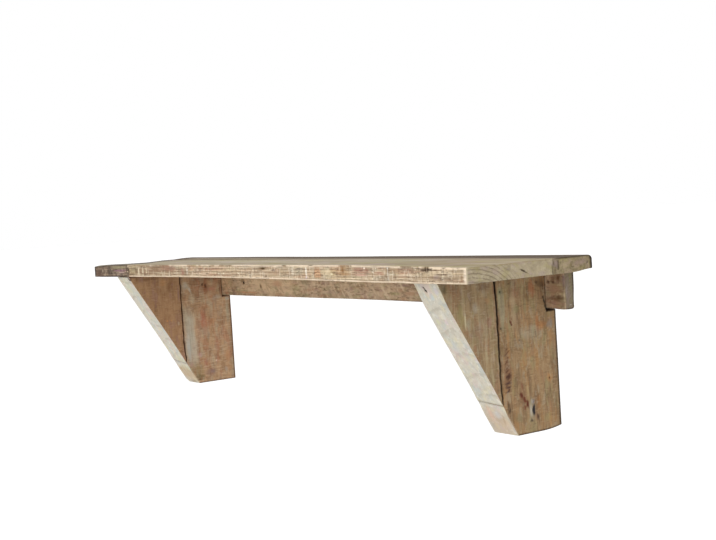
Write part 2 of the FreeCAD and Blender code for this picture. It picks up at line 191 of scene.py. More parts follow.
def skin_of(cuts: tuple[Array, Array, Array], filled: Array) -> Skin:
    """Finds the outer faces of a block of cells.

    Args:
        cuts: the stations along X, Y and Z.
        filled: for each cell between them, whether there is wood in it.

    Returns:
        The skin between filled and empty cells, with shared points.
    """
    padded = np.pad(filled, 1)
    corners, sides = [], []
    for axis in range(3):
        first, second = np.eye(3, dtype=int)[[(axis + 1) % 3, (axis + 2) % 3]]
        ring = np.array([0 * first, first, first + second, second])
        rows = [slice(1, -1)] * 3
        rows[axis] = slice(None)
        layers = padded[tuple(rows)]
        before = layers.take(range(layers.shape[axis] - 1), axis)
        after = layers.take(range(1, layers.shape[axis]), axis)
        for upper, open_faces in enumerate((after & ~before, before & ~after)):
            spots = np.argwhere(open_faces)
            corners.append(spots[:, None] + (ring if upper else ring[::-1]))
            sides.append(np.full(len(spots), 2 * axis + upper))
    corners = np.concatenate(corners)
    shape = [len(line) for line in cuts]
    keys = np.ravel_multi_index(corners.reshape(-1, 3).T, shape)
    used, numbers = np.unique(keys, return_inverse=True)
    places = np.unravel_index(used, shape)
    points = np.stack([line[place] for line, place in zip(cuts, places)], axis=1)
    return Skin(points, numbers.reshape(-1, 4), np.concatenate(sides))


@dataclass(frozen=True)
class Wall:
    """A flat face of a convex solid."""

    normal: tuple[float, float, float]
    through: tuple[float, float, float]


def box_walls(low: Array, high: Array) -> list[Wall]:
    """The six walls of a box, in the order of Side."""
    ways = [(sign * row, corner) for row in np.eye(3) for sign, corner in ((-1, low), (1, high))]
    return [Wall(tuple(normal), tuple(corner)) for normal, corner in ways]


def depths(points: Array, walls: Sequence[Wall]) -> Array:
    """How far each point lies behind each wall.

    Args:
        points: places on or in a solid.
        walls: its walls.

    Returns:
        Millimetres, one row for each point and one column for each wall.
    """
    normals = np.array([wall.normal for wall in walls])
    offsets = np.array([np.dot(wall.normal, wall.through) for wall in walls])
    return offsets - points @ normals.T


def round_over(points: Array, walls: Sequence[Wall], radius: Array) -> Array:
    """Rounds the arrises of a convex solid, each point to its own radius.

    Each point near two or more walls goes to the nearest place of the solid that is one radius
    smaller, and back out by that radius.

    Args:
        points: places on or in the solid.
        walls: the solid's walls.
        radius: the radius at each point, in millimetres.

    Returns:
        The points, moved.
    """
    normals = np.array([wall.normal for wall in walls])
    past = radius[:, None] - depths(points, walls)
    pull = np.zeros_like(past)
    meet = normals @ normals.T - np.eye(len(walls))
    for _ in range(ROUNDING_PASSES):
        for number in range(len(walls)):
            pull[:, number] = np.clip(past[:, number] - pull @ meet[:, number], 0.0, None)
    shift = pull @ normals
    length = np.maximum(np.linalg.norm(shift, axis=1), 1e-9)
    out = np.clip(past.max(axis=1), 0.0, None)
    return points + shift * (out / length - 1.0)[:, None]


# ------------------------------------------------------------------------------------------ marks


@dataclass(frozen=True)
class Mark:
    """A knot, hole, check or stained patch on one face of a board, or a painted shade or highlight."""

    across: float  # mm, x on a front or a top and y on an end or a cheek
    up: float  # mm, z, or y on a top
    wide: float  # mm from its middle to its rim
    tall: float
    colour: str
    strength: float = 0.6
    sink: float = 0.0  # mm
    turn: float = 0.0  # degrees anticlockwise
    crisp: float = 1.0  # how sharp its rim is

    def weight(self, spots: Array) -> Array:
        """How much of the mark each spot of the face takes, from 0 to 1.

        Args:
            spots: places on the mark's face, in millimetres.

        Returns:
            A share for each spot, from 0 to 1.
        """
        way, reach = math.radians(self.turn), np.array((self.wide, self.tall))
        spin = np.array(((math.cos(way), -math.sin(way)), (math.sin(way), math.cos(way))))
        turned = (spots - (self.across, self.up)) @ spin
        apart = ((turned / reach) ** 2).sum(axis=1)
        flat = np.column_stack([spots, np.zeros(len(spots))])
        ragged = apart * (1.0 + 0.5 * noise(flat, (*(reach * 0.6), 1.0), 3))
        return np.clip((1.0 - ragged) * self.crisp, 0.0, 1.0)


def paint(covers: Sequence[Array], colours: Sequence[str]) -> Array:
    """Lays colours over each other, the last on top.

    Args:
        covers: for each colour, how much of it each point takes.
        colours: the colours, from the lowest up.

    Returns:
        Linear red, green, blue and cover for each point.
    """
    coat = np.zeros((len(covers[0]), 4))
    for cover, colour in zip(covers, colours):
        total = cover + coat[:, 3] * (1.0 - cover)
        share = np.where(total > 0.0, cover / np.maximum(total, 1e-9), 0.0)[:, None]
        coat[:, :3] += (np.array(linear(colour)[:3]) - coat[:, :3]) * share
        coat[:, 3] = total
    return coat


# --------------------------------------------------------------------------------------- finishes


def add_node(
    tree: bpy.types.NodeTree, kind: str, inputs: dict | None = None, **settings: object
) -> bpy.types.Node:
    """Adds a node with its settings, values and links.

    Args:
        tree: the material's node tree.
        kind: the node's class name without ShaderNode.
        inputs: for each input socket, a value or the output socket that feeds it.
        settings: the node's own properties.

    Returns:
        The node.
    """
    node = tree.nodes.new("ShaderNode" + kind)
    for name, value in settings.items():
        setattr(node, name, value)
    for name, value in (inputs or {}).items():
        if isinstance(value, bpy.types.NodeSocket):
            tree.links.new(value, node.inputs[name])
        else:
            node.inputs[name].default_value = value
    return node


def new_tree(name: str) -> tuple[bpy.types.Material, bpy.types.NodeTree]:
    """Starts an empty node material.

    Args:
        name: the material's name.

    Returns:
        The material and its empty node tree.
    """
    material = bpy.data.materials.new(name)
    material.use_nodes = True
    material.node_tree.nodes.clear()
    return material, material.node_tree


def put_in_scene(name: str, data: bpy.types.ID) -> bpy.types.Object:
    """Makes an object of a mesh, a light or a camera and links it to the scene.

    Args:
        name: the object's name.
        data: what it shows.

    Returns:
        The object.
    """
    thing = bpy.data.objects.new(name, data)
    bpy.context.scene.collection.objects.link(thing)
    return thing


@dataclass(frozen=True)
class Tint:
    """A colour laid over the wood where a stretched noise is high."""

    colour: str
    size: tuple[float, float, float]  # mm along the grain, across it and through it
    level: tuple[float, float] = (0.5, 0.62)  # noise at which the tint starts and is full
    strength: float = 0.5
    relief: float = 0.0  # how far it stands out, as a share of the finish's relief
    detail: float = 3.0


@dataclass(frozen=True)
class TimberFinish:
    """One surface of a board: its wood, how it was cut, what the years did to it, and the painted shade and
    highlights laid over it.
    """

    name: str
    early: str  # spring wood
    late: str  # summer wood, the darker line of each year
    ring_width: float  # mm a year
    ring_strength: float
    tints: tuple[Tint, ...]
    arris: str  # the colour where an arris is worn to clean wood, and of the painted highlight along the front edge's arrises
    ring_from: float = 0.35  # share of a year at which the summer wood starts
    ring_to: float = 0.95  # and at which it is darkest
    ring_sway: float = 2.2  # how unevenly the rings run
    ring_reach: tuple[float, float] | None = None  # mm from the heart between which the rings fade out
    relief: float = 0.25  # mm
    roughness: float = 0.8
    gloss: float = 0.25  # specular level: dry, dirty wood shines little
    waviness: float = 6.0  # mm that the grain wanders
    # colour of old dirt, and of the painted shade under the top, in the notches and on arrises turned from
    # the light
    grime_and_shade: str = "2A1C12"

    def dress(self, board: "Timber") -> bpy.types.Material:
        """Makes this finish for one board, whose rings run on through all its faces.

        Args:
            board: gives the way of the grain, the heart's place and the seed.

        Returns:
            The material.
        """
        material, tree = new_tree(f"{board.node}_{self.name}")
        place = add_node(tree, "TexCoord").outputs["Object"]
        turned = {"Vector": place, "Scale": (1000, 1000, 1000), "Rotation": board.grain.value}
        turned["Location"] = (BOARD_SHIFT * board.seed, -board.heart[0], -board.heart[1])
        wood = add_node(tree, "Mapping", turned).outputs[0]
        waves = {0: wood, 1: tuple(1 / length for length in WANDER)}
        wander = add_node(tree, "VectorMath", waves, operation="MULTIPLY")
        wander = add_node(tree, "TexNoise", {"Vector": wander.outputs[0], "Scale": 1.0, "Detail": 2.0})
        sway = {0: wander.outputs["Color"], 1: (self.waviness,) * 3, 2: wood}
        bent = add_node(tree, "VectorMath", sway, operation="MULTIPLY_ADD").outputs[0]

        drawn = {0: bent, 1: (RING_STRETCH, 1.0, 1.0)}
        drawn = add_node(tree, "VectorMath", drawn, operation="MULTIPLY").outputs[0]
        rings = {"Vector": drawn, "Scale": WAVE_PERIOD / self.ring_width, "Distortion": self.ring_sway}
        rings.update({"Detail": 2.0, "Detail Scale": 1.4})
        rings = add_node(tree, "TexWave", rings, wave_type="RINGS", rings_direction="X", wave_profile="SAW")
        year = {"Value": rings.outputs["Fac"], "From Min": self.ring_from, "From Max": self.ring_to}
        year["To Max"] = self.ring_strength
        year = add_node(tree, "MapRange", year, interpolation_type="SMOOTHSTEP").outputs[0]
        if self.ring_reach:
            away = add_node(tree, "VectorMath", {0: wood, 1: (0.0, 1.0, 1.0)}, operation="MULTIPLY")
            away = add_node(tree, "VectorMath", {0: away.outputs[0]}, operation="LENGTH").outputs["Value"]
            kept = {"Value": away, "From Min": self.ring_reach[0], "From Max": self.ring_reach[1]}
            kept = add_node(tree, "MapRange", {**kept, "To Min": 1.0, "To Max": 0.0}).outputs[0]
            year = add_node(tree, "Math", {0: year, 1: kept}, operation="MULTIPLY").outputs[0]
        # the marks: stains, knots and holes, with a few painted shadows and highlights
        stain_and_painted_light = add_node(tree, "Attribute", attribute_name="stain_and_painted_light")
        soaked = {"Factor": stain_and_painted_light.outputs["Alpha"], MIX_A: linear(self.early), MIX_B: stain_and_painted_light.outputs["Color"]}
        colour = add_node(tree, "Mix", soaked, data_type="RGBA").outputs[MIX_COLOUR]
        colour = {"Factor": year, MIX_A: colour, MIX_B: linear(self.late)}
        colour = add_node(tree, "Mix", colour, data_type="RGBA").outputs[MIX_COLOUR]
        height = year

        for number, tint in enumerate(self.tints):
            stretch = {0: bent, 1: tuple(1 / length for length in tint.size)}
            stretch[2] = (TINT_STEP * number + TINT_START,) * 3
            spot = add_node(tree, "VectorMath", stretch, operation="MULTIPLY_ADD").outputs[0]
            patches = {"Vector": spot, "Scale": 1.0, "Detail": tint.detail, "Roughness": 0.6}
            patches = add_node(tree, "TexNoise", patches).outputs["Fac"]
            level = {"Value": patches, "From Min": tint.level[0], "From Max": tint.level[1]}
            level["To Max"] = tint.strength
            cover = add_node(tree, "MapRange", level).outputs[0]
            laid = {"Factor": cover, MIX_A: colour, MIX_B: linear(tint.colour)}
            colour = add_node(tree, "Mix", laid, data_type="RGBA").outputs[MIX_COLOUR]
            if tint.relief:
                lift = {0: cover, 1: tint.relief / tint.strength, 2: height}
                height = add_node(tree, "Math", lift, operation="MULTIPLY_ADD").outputs[0]

        thick = add_node(tree, "Math", {0: stain_and_painted_light.outputs["Alpha"], 1: 2.0}, operation="POWER").outputs[0]
        marked = {"Factor": thick, MIX_A: colour, MIX_B: stain_and_painted_light.outputs["Color"]}
        colour = add_node(tree, "Mix", marked, data_type="RGBA").outputs[MIX_COLOUR]
        # worn cream with painted highlights on the arrises, then dirt with painted shade
        for name, worn in (("wear_and_highlight", self.arris), ("grime_and_shade", self.grime_and_shade)):
            cover = add_node(tree, "Attribute", attribute_name=name).outputs["Fac"]
            worn = {"Factor": cover, MIX_A: colour, MIX_B: linear(worn)}
            colour = add_node(tree, "Mix", worn, data_type="RGBA").outputs[MIX_COLOUR]

        bump = add_node(tree, "Bump", {"Height": height, "Strength": 1.0, "Distance": self.relief * MM})
        surface = {"Base Color": colour, "Roughness": self.roughness, "Normal": bump.outputs[0]}
        surface["Specular IOR Level"] = self.gloss
        surface = add_node(tree, "BsdfPrincipled", surface)
        add_node(tree, "OutputMaterial", {"Surface": surface.outputs[0]})
        return material


# Old pine, planed and rubbed down: a smooth khaki-grey face with long streaks.
PLANED_PINE = TimberFinish(
    "planed_pine",
    early="A2967E",
    late="8B7D65",
    ring_width=9.0,
    ring_strength=0.4,
    tints=(
        Tint("837459", (340, 44, 44), (0.46, 0.6), 0.45),
        Tint("BBAF9A", (260, 26, 26), (0.5, 0.6), 0.5),
        Tint("A6948C", (46, 60, 60), (0.5, 0.58), 0.5),
        Tint("9A9062", (60, 60, 60), (0.5, 0.58), 0.45),
        Tint("74664E", (150, 14, 14), (0.55, 0.64), 0.45),
        Tint("7A6C56", (12, 34, 34), (0.54, 0.62), 0.35),
        Tint("6F624D", (90, 1.6, 1.6), (0.55, 0.68), 0.45, relief=-0.5),
    ),
    arris="C0AE93",
    relief=0.12,
)

# The back plank's own face, from a browner board that kept more of its old dirt.
BROWN_PLANED_PINE = TimberFinish(
    "brown_planed_pine",
    early="8B7D67",
    late="776A54",
    ring_width=7.0,
    ring_strength=0.45,
    tints=(
        Tint("6E604C", (220, 20, 20), strength=0.4),
        Tint("9A8C75", (150, 12, 12), strength=0.35),
        Tint("5A4C3B", (40, 1.5, 1.5), (0.55, 0.68), 0.4, relief=-0.4),
    ),
    arris="A08E74",
    relief=0.12,
    grime_and_shade="3E2810",
)

# A front edge left from the saw mill: level years, crossed by blade marks, cream where it is worn.
SAWN_PINE = TimberFinish(
    "sawn_pine",
    early="C7B093",
    late="8F7355",
    ring_width=4.2,
    ring_strength=0.75,
    ring_from=0.45,
    ring_sway=1.5,
    tints=(
        Tint("B5886C", (60, 14, 14), (0.5, 0.6), 0.4),
        Tint("CDBB96", (50, 10, 10), (0.5, 0.6), 0.4),
        Tint("8F8878", (36, 12, 12), (0.55, 0.65), 0.4),
        Tint("7F6048", (70, 30, 1.6), (0.48, 0.58), 0.4, relief=-1.0, detail=1.5),
        Tint("E6D3B4", (50, 30, 1.5), (0.53, 0.6), 0.5, relief=0.5, detail=1.5),
        Tint("7C624B", (4.4, 30, 16), (0.54, 0.62), 0.31, relief=-1.0, detail=1.5),
        Tint("EBDCC2", (3.6, 30, 10), (0.56, 0.63), 0.38, relief=0.6, detail=1.5),
        Tint("52392A", (12, 30, 1.5), (0.6, 0.67), 0.5, relief=-1.5),
    ),
    arris="F0DCC2",
    relief=0.5,
    roughness=0.85,
    waviness=1.5,
)

# The far end of that edge, where old dark limewash was never worn off.
STAINED_SAWN_PINE = TimberFinish(
    "stained_sawn_pine",
    early="84705C",
    late="4A3B2E",
    ring_width=4.2,
    ring_strength=0.65,
    ring_from=0.45,
    ring_sway=1.5,
    tints=(
        Tint("86705F", (30, 12, 9), (0.5, 0.62), 0.4),
        Tint("3E3027", (60, 30, 2.2), (0.47, 0.58), 0.55, relief=-1.0, detail=1.5),
        Tint("A8957F", (7, 30, 7), (0.56, 0.63), 0.5, relief=0.6, detail=2.0),
        Tint("2E231C", (11, 30, 14), (0.54, 0.62), 0.5, relief=-1.0, detail=2.0),
    ),
    arris="8F7C68",
    relief=0.5,
    roughness=0.85,
    waviness=1.5,
)

# Cross-cut end of the front plank: khaki end grain, dark thin years near the tree's heart.
PINE_END_GRAIN = TimberFinish(
    "pine_end_grain",
    early="A5977C",
    late="655740",
    ring_width=4.6,
    ring_strength=0.7,
    ring_from=0.55,
    ring_sway=1.2,
    ring_reach=(74.0, 92.0),
    tints=(
        Tint("83775F", (6, 12, 12), (0.48, 0.62), 0.4),
        Tint("B7AB91", (6, 7, 5), (0.52, 0.64), 0.45),
        Tint("A08C86", (6, 16, 9), (0.52, 0.6), 0.45),
        Tint("9C9160", (6, 13, 10), (0.53, 0.62), 0.4),
        Tint("6E624C", (3, 1.8, 1.8), (0.56, 0.66), 0.4, relief=-0.5),
    ),
    arris="C4B69A",
    relief=0.2,
)

# Cross-cut end of the back plank: darker, browner and too dirty to show its rings.
BROWN_PINE_END_GRAIN = TimberFinish(
    "brown_pine_end_grain",
    early="908163",
    late="756750",
    ring_width=7.0,
    ring_strength=0.3,
    tints=(
        Tint("6B5E40", (6, 7, 6), (0.48, 0.6), 0.5),
        Tint("A08A7A", (6, 8, 5), (0.52, 0.62), 0.5),
        Tint("8F8650", (6, 10, 7), (0.54, 0.64), 0.45),
        Tint("544630", (3, 2.2, 2.2), (0.56, 0.64), 0.5, relief=-0.5),
    ),
    arris="9A8B70",
    relief=0.2,
)

# Bracket board, planed pine long indoors: an even warm brown with fine level ticks across the fibres.
WARM_WEATHERED_PINE = TimberFinish(
    "warm_weathered_pine",
    early="A27D5A",
    late="8B6849",
    ring_width=11.0,
    ring_strength=0.2,
    tints=(
        Tint("805C3E", (26, 14, 14), (0.5, 0.62), 0.45),
        Tint("B8946C", (20, 9, 9), (0.52, 0.64), 0.35),
        Tint("936F64", (26, 12, 12), (0.53, 0.63), 0.45),
        Tint("6A4A30", (38, 1.3, 1.3), (0.55, 0.65), 0.3, relief=-0.6),
        Tint("BD9E78", (28, 1.2, 1.2), (0.57, 0.67), 0.25, relief=0.3),
        Tint("75543A", (2.4, 14, 14), (0.56, 0.64), 0.28, relief=-0.3, detail=2.0),
        Tint("BB9A74", (2.2, 12, 12), (0.57, 0.65), 0.25, relief=0.3, detail=2.0),
    ),
    arris="B39778",
    relief=0.2,
    grime_and_shade="4E2E16",
)

# Bracket board, planed pine with old paint sanded off: rust, khaki and brown patches, pale ticks.
PATCHY_WEATHERED_PINE = TimberFinish(
    "patchy_weathered_pine",
    early="AF8D6A",
    late="967353",
    ring_width=12.0,
    ring_strength=0.2,
    tints=(
        Tint("A36E54", (34, 9, 9), (0.51, 0.61), 0.45),
        Tint("B0A286", (30, 10, 10), (0.52, 0.62), 0.45),
        Tint("7A583C", (24, 12, 12), (0.52, 0.62), 0.45),
        Tint("94826E", (16, 9, 9), (0.55, 0.63), 0.35),
        Tint("684931", (30, 1.3, 1.3), (0.56, 0.65), 0.3, relief=-0.6),
        Tint("CDB495", (2.2, 16, 16), (0.55, 0.64), 0.3, relief=0.4, detail=2.0),
        Tint("6E503A", (2.0, 13, 13), (0.56, 0.64), 0.3, relief=-0.4, detail=2.0),
    ),
    arris="B39A7E",
    relief=0.25,
    grime_and_shade="4A2C16",
)

# Bracket board and the top's underside, pine that stood in the damp: dull brown, greened in patches.
GREENISH_WEATHERED_PINE = TimberFinish(
    "greenish_weathered_pine",
    early="98805F",
    late="80694A",
    ring_width=11.0,
    ring_strength=0.2,
    tints=(
        Tint("725C44", (50, 12, 12), (0.49, 0.61), 0.5),
        Tint("A79A7C", (26, 8, 8), (0.52, 0.63), 0.4),
        Tint("8E6648", (30, 12, 12), (0.52, 0.62), 0.5),
        Tint("8C8258", (34, 12, 12), (0.53, 0.63), 0.4),
        Tint("A08E80", (14, 8, 8), (0.56, 0.65), 0.3),
        Tint("5A4631", (36, 1.4, 1.4), (0.56, 0.65), 0.3, relief=-0.6),
        Tint("BBA985", (30, 1.6, 1.6), (0.58, 0.66), 0.3, relief=0.3),
        Tint("64503A", (2.8, 11, 11), (0.54, 0.66), 0.26, relief=-0.3),
        Tint("BBAA88", (2.6, 9, 9), (0.55, 0.67), 0.26, relief=0.2),
    ),
    arris="AE9A7E",
    relief=0.2,
)

# Bracket board, a joist's planed face: orange streaks of resin, dark patches, fine light fibres.
NAILED_WEATHERED_PINE = TimberFinish(
    "nailed_weathered_pine",
    early="967A58",
    late="7F6547",
    ring_width=11.0,
    ring_strength=0.2,
    tints=(
        Tint("A0723F", (54, 8, 8), (0.53, 0.63), 0.4),
        Tint("8F8760", (34, 14, 14), (0.52, 0.62), 0.5),
        Tint("684C33", (38, 11, 11), (0.51, 0.62), 0.5),
        Tint("8E6C52", (26, 12, 12), (0.54, 0.64), 0.4),
        Tint("A49A82", (16, 8, 8), (0.56, 0.64), 0.35),
        Tint("523A27", (32, 1.3, 1.3), (0.55, 0.64), 0.35, relief=-0.6),
        Tint("B59A74", (26, 1.5, 1.5), (0.58, 0.67), 0.3, relief=0.3),
        Tint("5A4430", (2.8, 10, 10), (0.54, 0.66), 0.28, relief=-0.3),
        Tint("B7A07C", (2.6, 9, 9), (0.55, 0.67), 0.26, relief=0.2),
    ),
    arris="AE9A7E",
    relief=0.25,
)

# Fresh diagonal cut through old boards: clean pale wood, thin rings far apart.
FRESH_CUT_PINE = TimberFinish(
    "fresh_cut_pine",
    early="C1BBAC",
    late="8E8676",
    ring_width=17.0,
    ring_strength=0.34,
    ring_from=0.76,
    tints=(
        Tint("A8B2B2", (34, 16, 16), (0.48, 0.62), 0.5),
        Tint("CFC4A0", (30, 10, 10), (0.5, 0.64), 0.5),
        Tint("C8ADA8", (26, 12, 12), (0.53, 0.64), 0.45),
        Tint("A9A496", (9, 7, 7), (0.54, 0.64), 0.35),
        Tint("DAD6CA", (8, 6, 6), (0.55, 0.64), 0.4),
        Tint("A09682", (16, 1.6, 1.6), (0.56, 0.66), 0.4, relief=-0.5),
    ),
    arris="D9D0BC",
    relief=0.12,
    waviness=4.0,
)

# Roofing batten, straight from the saw.
ROUGH_SAWN_PINE = TimberFinish(
    "rough_sawn_pine",
    early="C0A588",
    late="A6896B",
    ring_width=6.0,
    ring_strength=0.35,
    tints=(
        Tint("958D68", (30, 12, 12), (0.5, 0.6), 0.5),
        Tint("9E6F50", (34, 10, 10), (0.52, 0.62), 0.45),
        Tint("9C7C72", (26, 9, 9), (0.53, 0.62), 0.4),
        Tint("D2BC9A", (6, 9, 9), (0.54, 0.63), 0.45, relief=0.7, detail=1.5),
        Tint("6F553D", (12, 3.4, 3.4), (0.55, 0.64), 0.5, relief=-0.8, detail=2.0),
    ),
    arris="D8C2A2",
    relief=0.4,
    roughness=0.88,
)

# The batten's cross-cut ends: grey-brown from handling, in soft pink and green patches.
BATTEN_END_GRAIN = TimberFinish(
    "batten_pine_end_grain",
    early="7A6C58",
    late="63543F",
    ring_width=4.0,
    ring_strength=0.4,
    tints=(
        Tint("827068", (6, 5, 12), (0.5, 0.62), 0.5),
        Tint("74734F", (6, 4, 12), (0.52, 0.62), 0.5),
        Tint("958A78", (3, 2, 2), (0.56, 0.66), 0.4),
    ),
    arris="8E7F6B",
    relief=0.2,
)


# --------------------------------------------------------------------------- what marks each board

# Front edge of the top, from left to right.
FRONT_EDGE_MARKS = (
    # the stained stretch: dark and reddish patches, limewash, purple and pink paint
    Mark(-482, 31.0, 15, 9.0, "624434", 0.65),
    Mark(-460, 41.2, 30, 1.5, "8E7862", 0.7, crisp=1.5),
    Mark(-466, 35.5, 2.8, 4.5, "B09C86", 0.75, crisp=1.5),
    Mark(-452, 35.0, 2.6, 3.5, "AD9A84", 0.7, crisp=1.5),
    Mark(-474, 29.0, 25, 6.5, "584436", 0.55),
    Mark(-438, 29.5, 8, 5.5, "4E3E32", 0.5),
    Mark(-398, 41.0, 38, 3.4, "9C9070", 0.75, crisp=1.5),
    Mark(-396, 35.4, 31, 2.2, "986F7C", 0.65, crisp=1.5),
    Mark(-390, 31.8, 13, 1.4, "D2B0AA", 0.8, crisp=1.5),
    Mark(-402, 28.6, 32, 4.4, "A08A78", 0.55),
    Mark(-408, 25.5, 26, 1.4, "4A3A2E", 0.5),
    Mark(-373, 34.0, 4, 1.2, "D2A8A4", 0.7),
    # what is left of the stain past its end
    Mark(-344, 34.0, 22, 10.0, "94865F", 0.65, crisp=1.5),
    Mark(-345, 33.4, 9, 2.6, "C2B792", 0.7),
    Mark(-347, 38.4, 17, 0.9, "2E2418", 0.95, crisp=2.0),
    Mark(-349, 28.4, 14, 0.9, "33281B", 0.9, crisp=2.0),
    Mark(-361, 34.0, 2.4, 7.5, "33281B", 0.9, crisp=2.0),
    Mark(-333, 33.5, 2.0, 7.0, "4A3A28", 0.8, crisp=1.5),
    # a brown stretch, crossed by chalky uprights
    Mark(-265, 34.0, 100, 16.0, "987C60", 0.6),
    Mark(-323, 34.0, 2.6, 9.0, "E8DABA", 0.85, crisp=2.0),
    Mark(-315.5, 34.0, 2.4, 8.0, "8A6C50", 0.7, crisp=1.5),
    Mark(-308, 34.0, 2.4, 9.0, "E6D8B8", 0.8, crisp=2.0),
    Mark(-301.5, 33.0, 2.2, 8.0, "94765A", 0.6),
    Mark(-295, 34.0, 2.2, 8.0, "E2D2B0", 0.75, crisp=1.5),
    Mark(-216, 39.0, 34, 4.8, "A67C66", 0.65, crisp=1.5),
    Mark(-262, 38.5, 18, 5.0, "947656", 0.6),
    Mark(-265, 41.0, 60, 0.9, "6F563F", 0.7, crisp=1.5),
    Mark(-250, 35.5, 55, 0.9, "7C6048", 0.6, crisp=1.5),
    Mark(-290, 29.0, 40, 0.9, "7C6048", 0.6, crisp=1.5),
    Mark(-240, 30.4, 30, 0.9, "E6D4B2", 0.6, crisp=1.5),
    Mark(-277, 43.5, 3.5, 2.0, "EAD8C8", 0.8),
    # the middle: dull red, a knot, chalky uprights
    Mark(-163, 35.0, 28, 14.0, "8C745A", 0.6),
    Mark(-169, 34.0, 6, 8.5, "A67866", 0.45, crisp=1.5),
    Mark(-169, 30.5, 7, 3.5, "A8705E", 0.45),
    Mark(-154, 35.0, 4.0, 9.0, "E6DAC4", 0.5, crisp=1.5),
    Mark(-126, 44.0, 20, 3.5, "B3AC80", 0.5),
    Mark(-91, 37.6, 48, 1.4, "B07A60", 0.5),
    Mark(-60, 38.0, 40, 6.0, "BC8C74", 0.3),
    Mark(-115, 29.4, 28, 1.2, "EAD6BA", 0.7),
    Mark(-55, 30.3, 3.5, 1.6, "F0E2C8", 0.85),
    Mark(-41, 30.7, 3.0, 1.6, "F0E2C8", 0.85),
    Mark(-12, 45.5, 3.0, 2.0, "6A5238", 0.8),
    Mark(-24, 44.0, 8.5, 1.1, "7A6044", 0.75),
    Mark(23, 38.6, 37, 0.9, "7E6850", 0.7),
    Mark(20, 42.6, 37, 0.8, "8A745A", 0.6),
    Mark(1, 31.7, 2.8, 2.0, "F0E0C4", 0.9),
    Mark(69, 39.5, 15, 4.0, "8F7353", 0.5),
    Mark(69, 39.5, 6, 1.8, "54401F", 0.95, sink=0.3, crisp=2.0),
    Mark(104, 34.7, 13, 7.0, "B58672", 0.4),
    Mark(161, 35.8, 13, 7.0, "9C9684", 0.5),
    Mark(161, 39.4, 12, 1.1, "7C6F62", 0.7),
    Mark(145, 35.7, 5.0, 9.5, "E0D6C0", 0.6),
    Mark(178, 35.4, 2.2, 10.0, "EFE5D2", 0.85, crisp=1.5),
    Mark(178, 27.3, 3.0, 2.0, "D2C6D0", 0.75),
    Mark(190, 45.6, 5.5, 1.6, "4E3F26", 0.95, sink=0.8, crisp=2.0),
    Mark(205, 38.5, 9.0, 6.0, "A87A56", 0.6, crisp=3.0),
    Mark(205, 32.6, 9.0, 6.0, "C08A5E", 0.55, crisp=3.0),
    Mark(205, 36.6, 8.0, 0.9, "DDBB96", 0.7, crisp=1.5),
    Mark(206, 33.2, 7.0, 0.9, "E2BE96", 0.7, crisp=1.5),
    Mark(205, 30.0, 7.0, 0.8, "DDB890", 0.6),
    Mark(226, 35.0, 15, 10.0, "D6C7A2", 0.65, crisp=1.5),
    # towards the right end: yellow, red and cream paint, a check
    Mark(238, 33.1, 3.0, 1.7, "F6ECCC", 0.9, crisp=1.5),
    Mark(241, 35.0, 9, 9.0, "CDB780", 0.4),
    Mark(264, 36.5, 20, 10.0, "AE7E4C", 0.65),
    Mark(262, 38.0, 3.2, 5.5, "875C2C", 0.75),
    Mark(300, 37.8, 22, 7.0, "B27A68", 0.55),
    Mark(302, 32.6, 18, 1.6, "DDB8A4", 0.6),
    Mark(314, 39.0, 5.5, 1.2, "94503E", 0.65),
    Mark(297, 38.6, 14, 0.9, "9C5E4C", 0.5),
    Mark(308.5, 41.6, 2.6, 1.5, "F8E8D2", 0.95, crisp=2.0),
    Mark(323.5, 43.2, 2.6, 1.2, "F2E4C6", 0.9),
    Mark(326, 37.1, 3.2, 1.5, "F4E6CC", 0.9),
    Mark(332, 41.4, 1.8, 1.2, "F4E6CC", 0.85),
    Mark(325, 28.4, 2.4, 1.3, "F0E0C2", 0.85),
    Mark(341, 35.3, 11, 3.2, "B06C58", 0.55),
    Mark(325, 44.5, 26, 1.2, "6E6244", 0.6),
    Mark(356, 35.0, 1.6, 10.0, "F4EBDA", 0.85, crisp=2.0),
    Mark(361, 34.7, 11.5, 0.9, "F0E4CE", 0.8),
    Mark(356, 42.7, 2.3, 2.0, "FBF4E4", 0.95),
    Mark(388, 41.1, 24, 1.0, "A2765C", 0.5),
    Mark(386, 37.8, 24, 0.9, "A87E64", 0.4),
    Mark(390, 34.8, 18, 0.9, "EBD8BC", 0.7),
    Mark(390, 31.7, 18, 1.0, "BA8A76", 0.55),
    Mark(399, 29.0, 12, 0.9, "EBD8BC", 0.6),
    Mark(390, 38.5, 29, 5.0, "B28A72", 0.4),
    Mark(425, 40.9, 6.5, 1.8, "4A3420", 0.95, sink=0.3, crisp=1.5),
    Mark(436, 41.4, 6.5, 1.1, "402C1A", 0.95, sink=0.5, crisp=1.5),
    Mark(445.5, 41.1, 4.5, 1.0, "5C442C", 0.85),
    Mark(428.2, 42.6, 1.5, 6.4, "45301C", 0.95, crisp=1.5),
    Mark(432.6, 43.0, 1.3, 5.4, "45301C", 0.95, crisp=1.5),
    Mark(426, 37.2, 2.3, 1.4, "6E4E32", 0.8),
    Mark(461.3, 43.6, 4.4, 0.9, "584328", 0.9, sink=0.3),
    Mark(457.3, 42.0, 1.3, 1.4, "584328", 0.85),
    Mark(465.4, 41.6, 1.3, 1.4, "584328", 0.85),
    Mark(447, 32.0, 8, 5.0, "A8948C", 0.6),
    Mark(459, 33.9, 2.4, 1.2, "EDDCB8", 0.8),
    Mark(477, 36.9, 6, 1.6, "E6D2AC", 0.6),
    Mark(470, 29.0, 8, 1.0, "9A7654", 0.6),
    Mark(491.5, 32.8, 1.7, 6.5, "7E5732", 0.75),
    Mark(497.6, 34.4, 2.2, 12.0, "F2E8D6", 0.8),
)

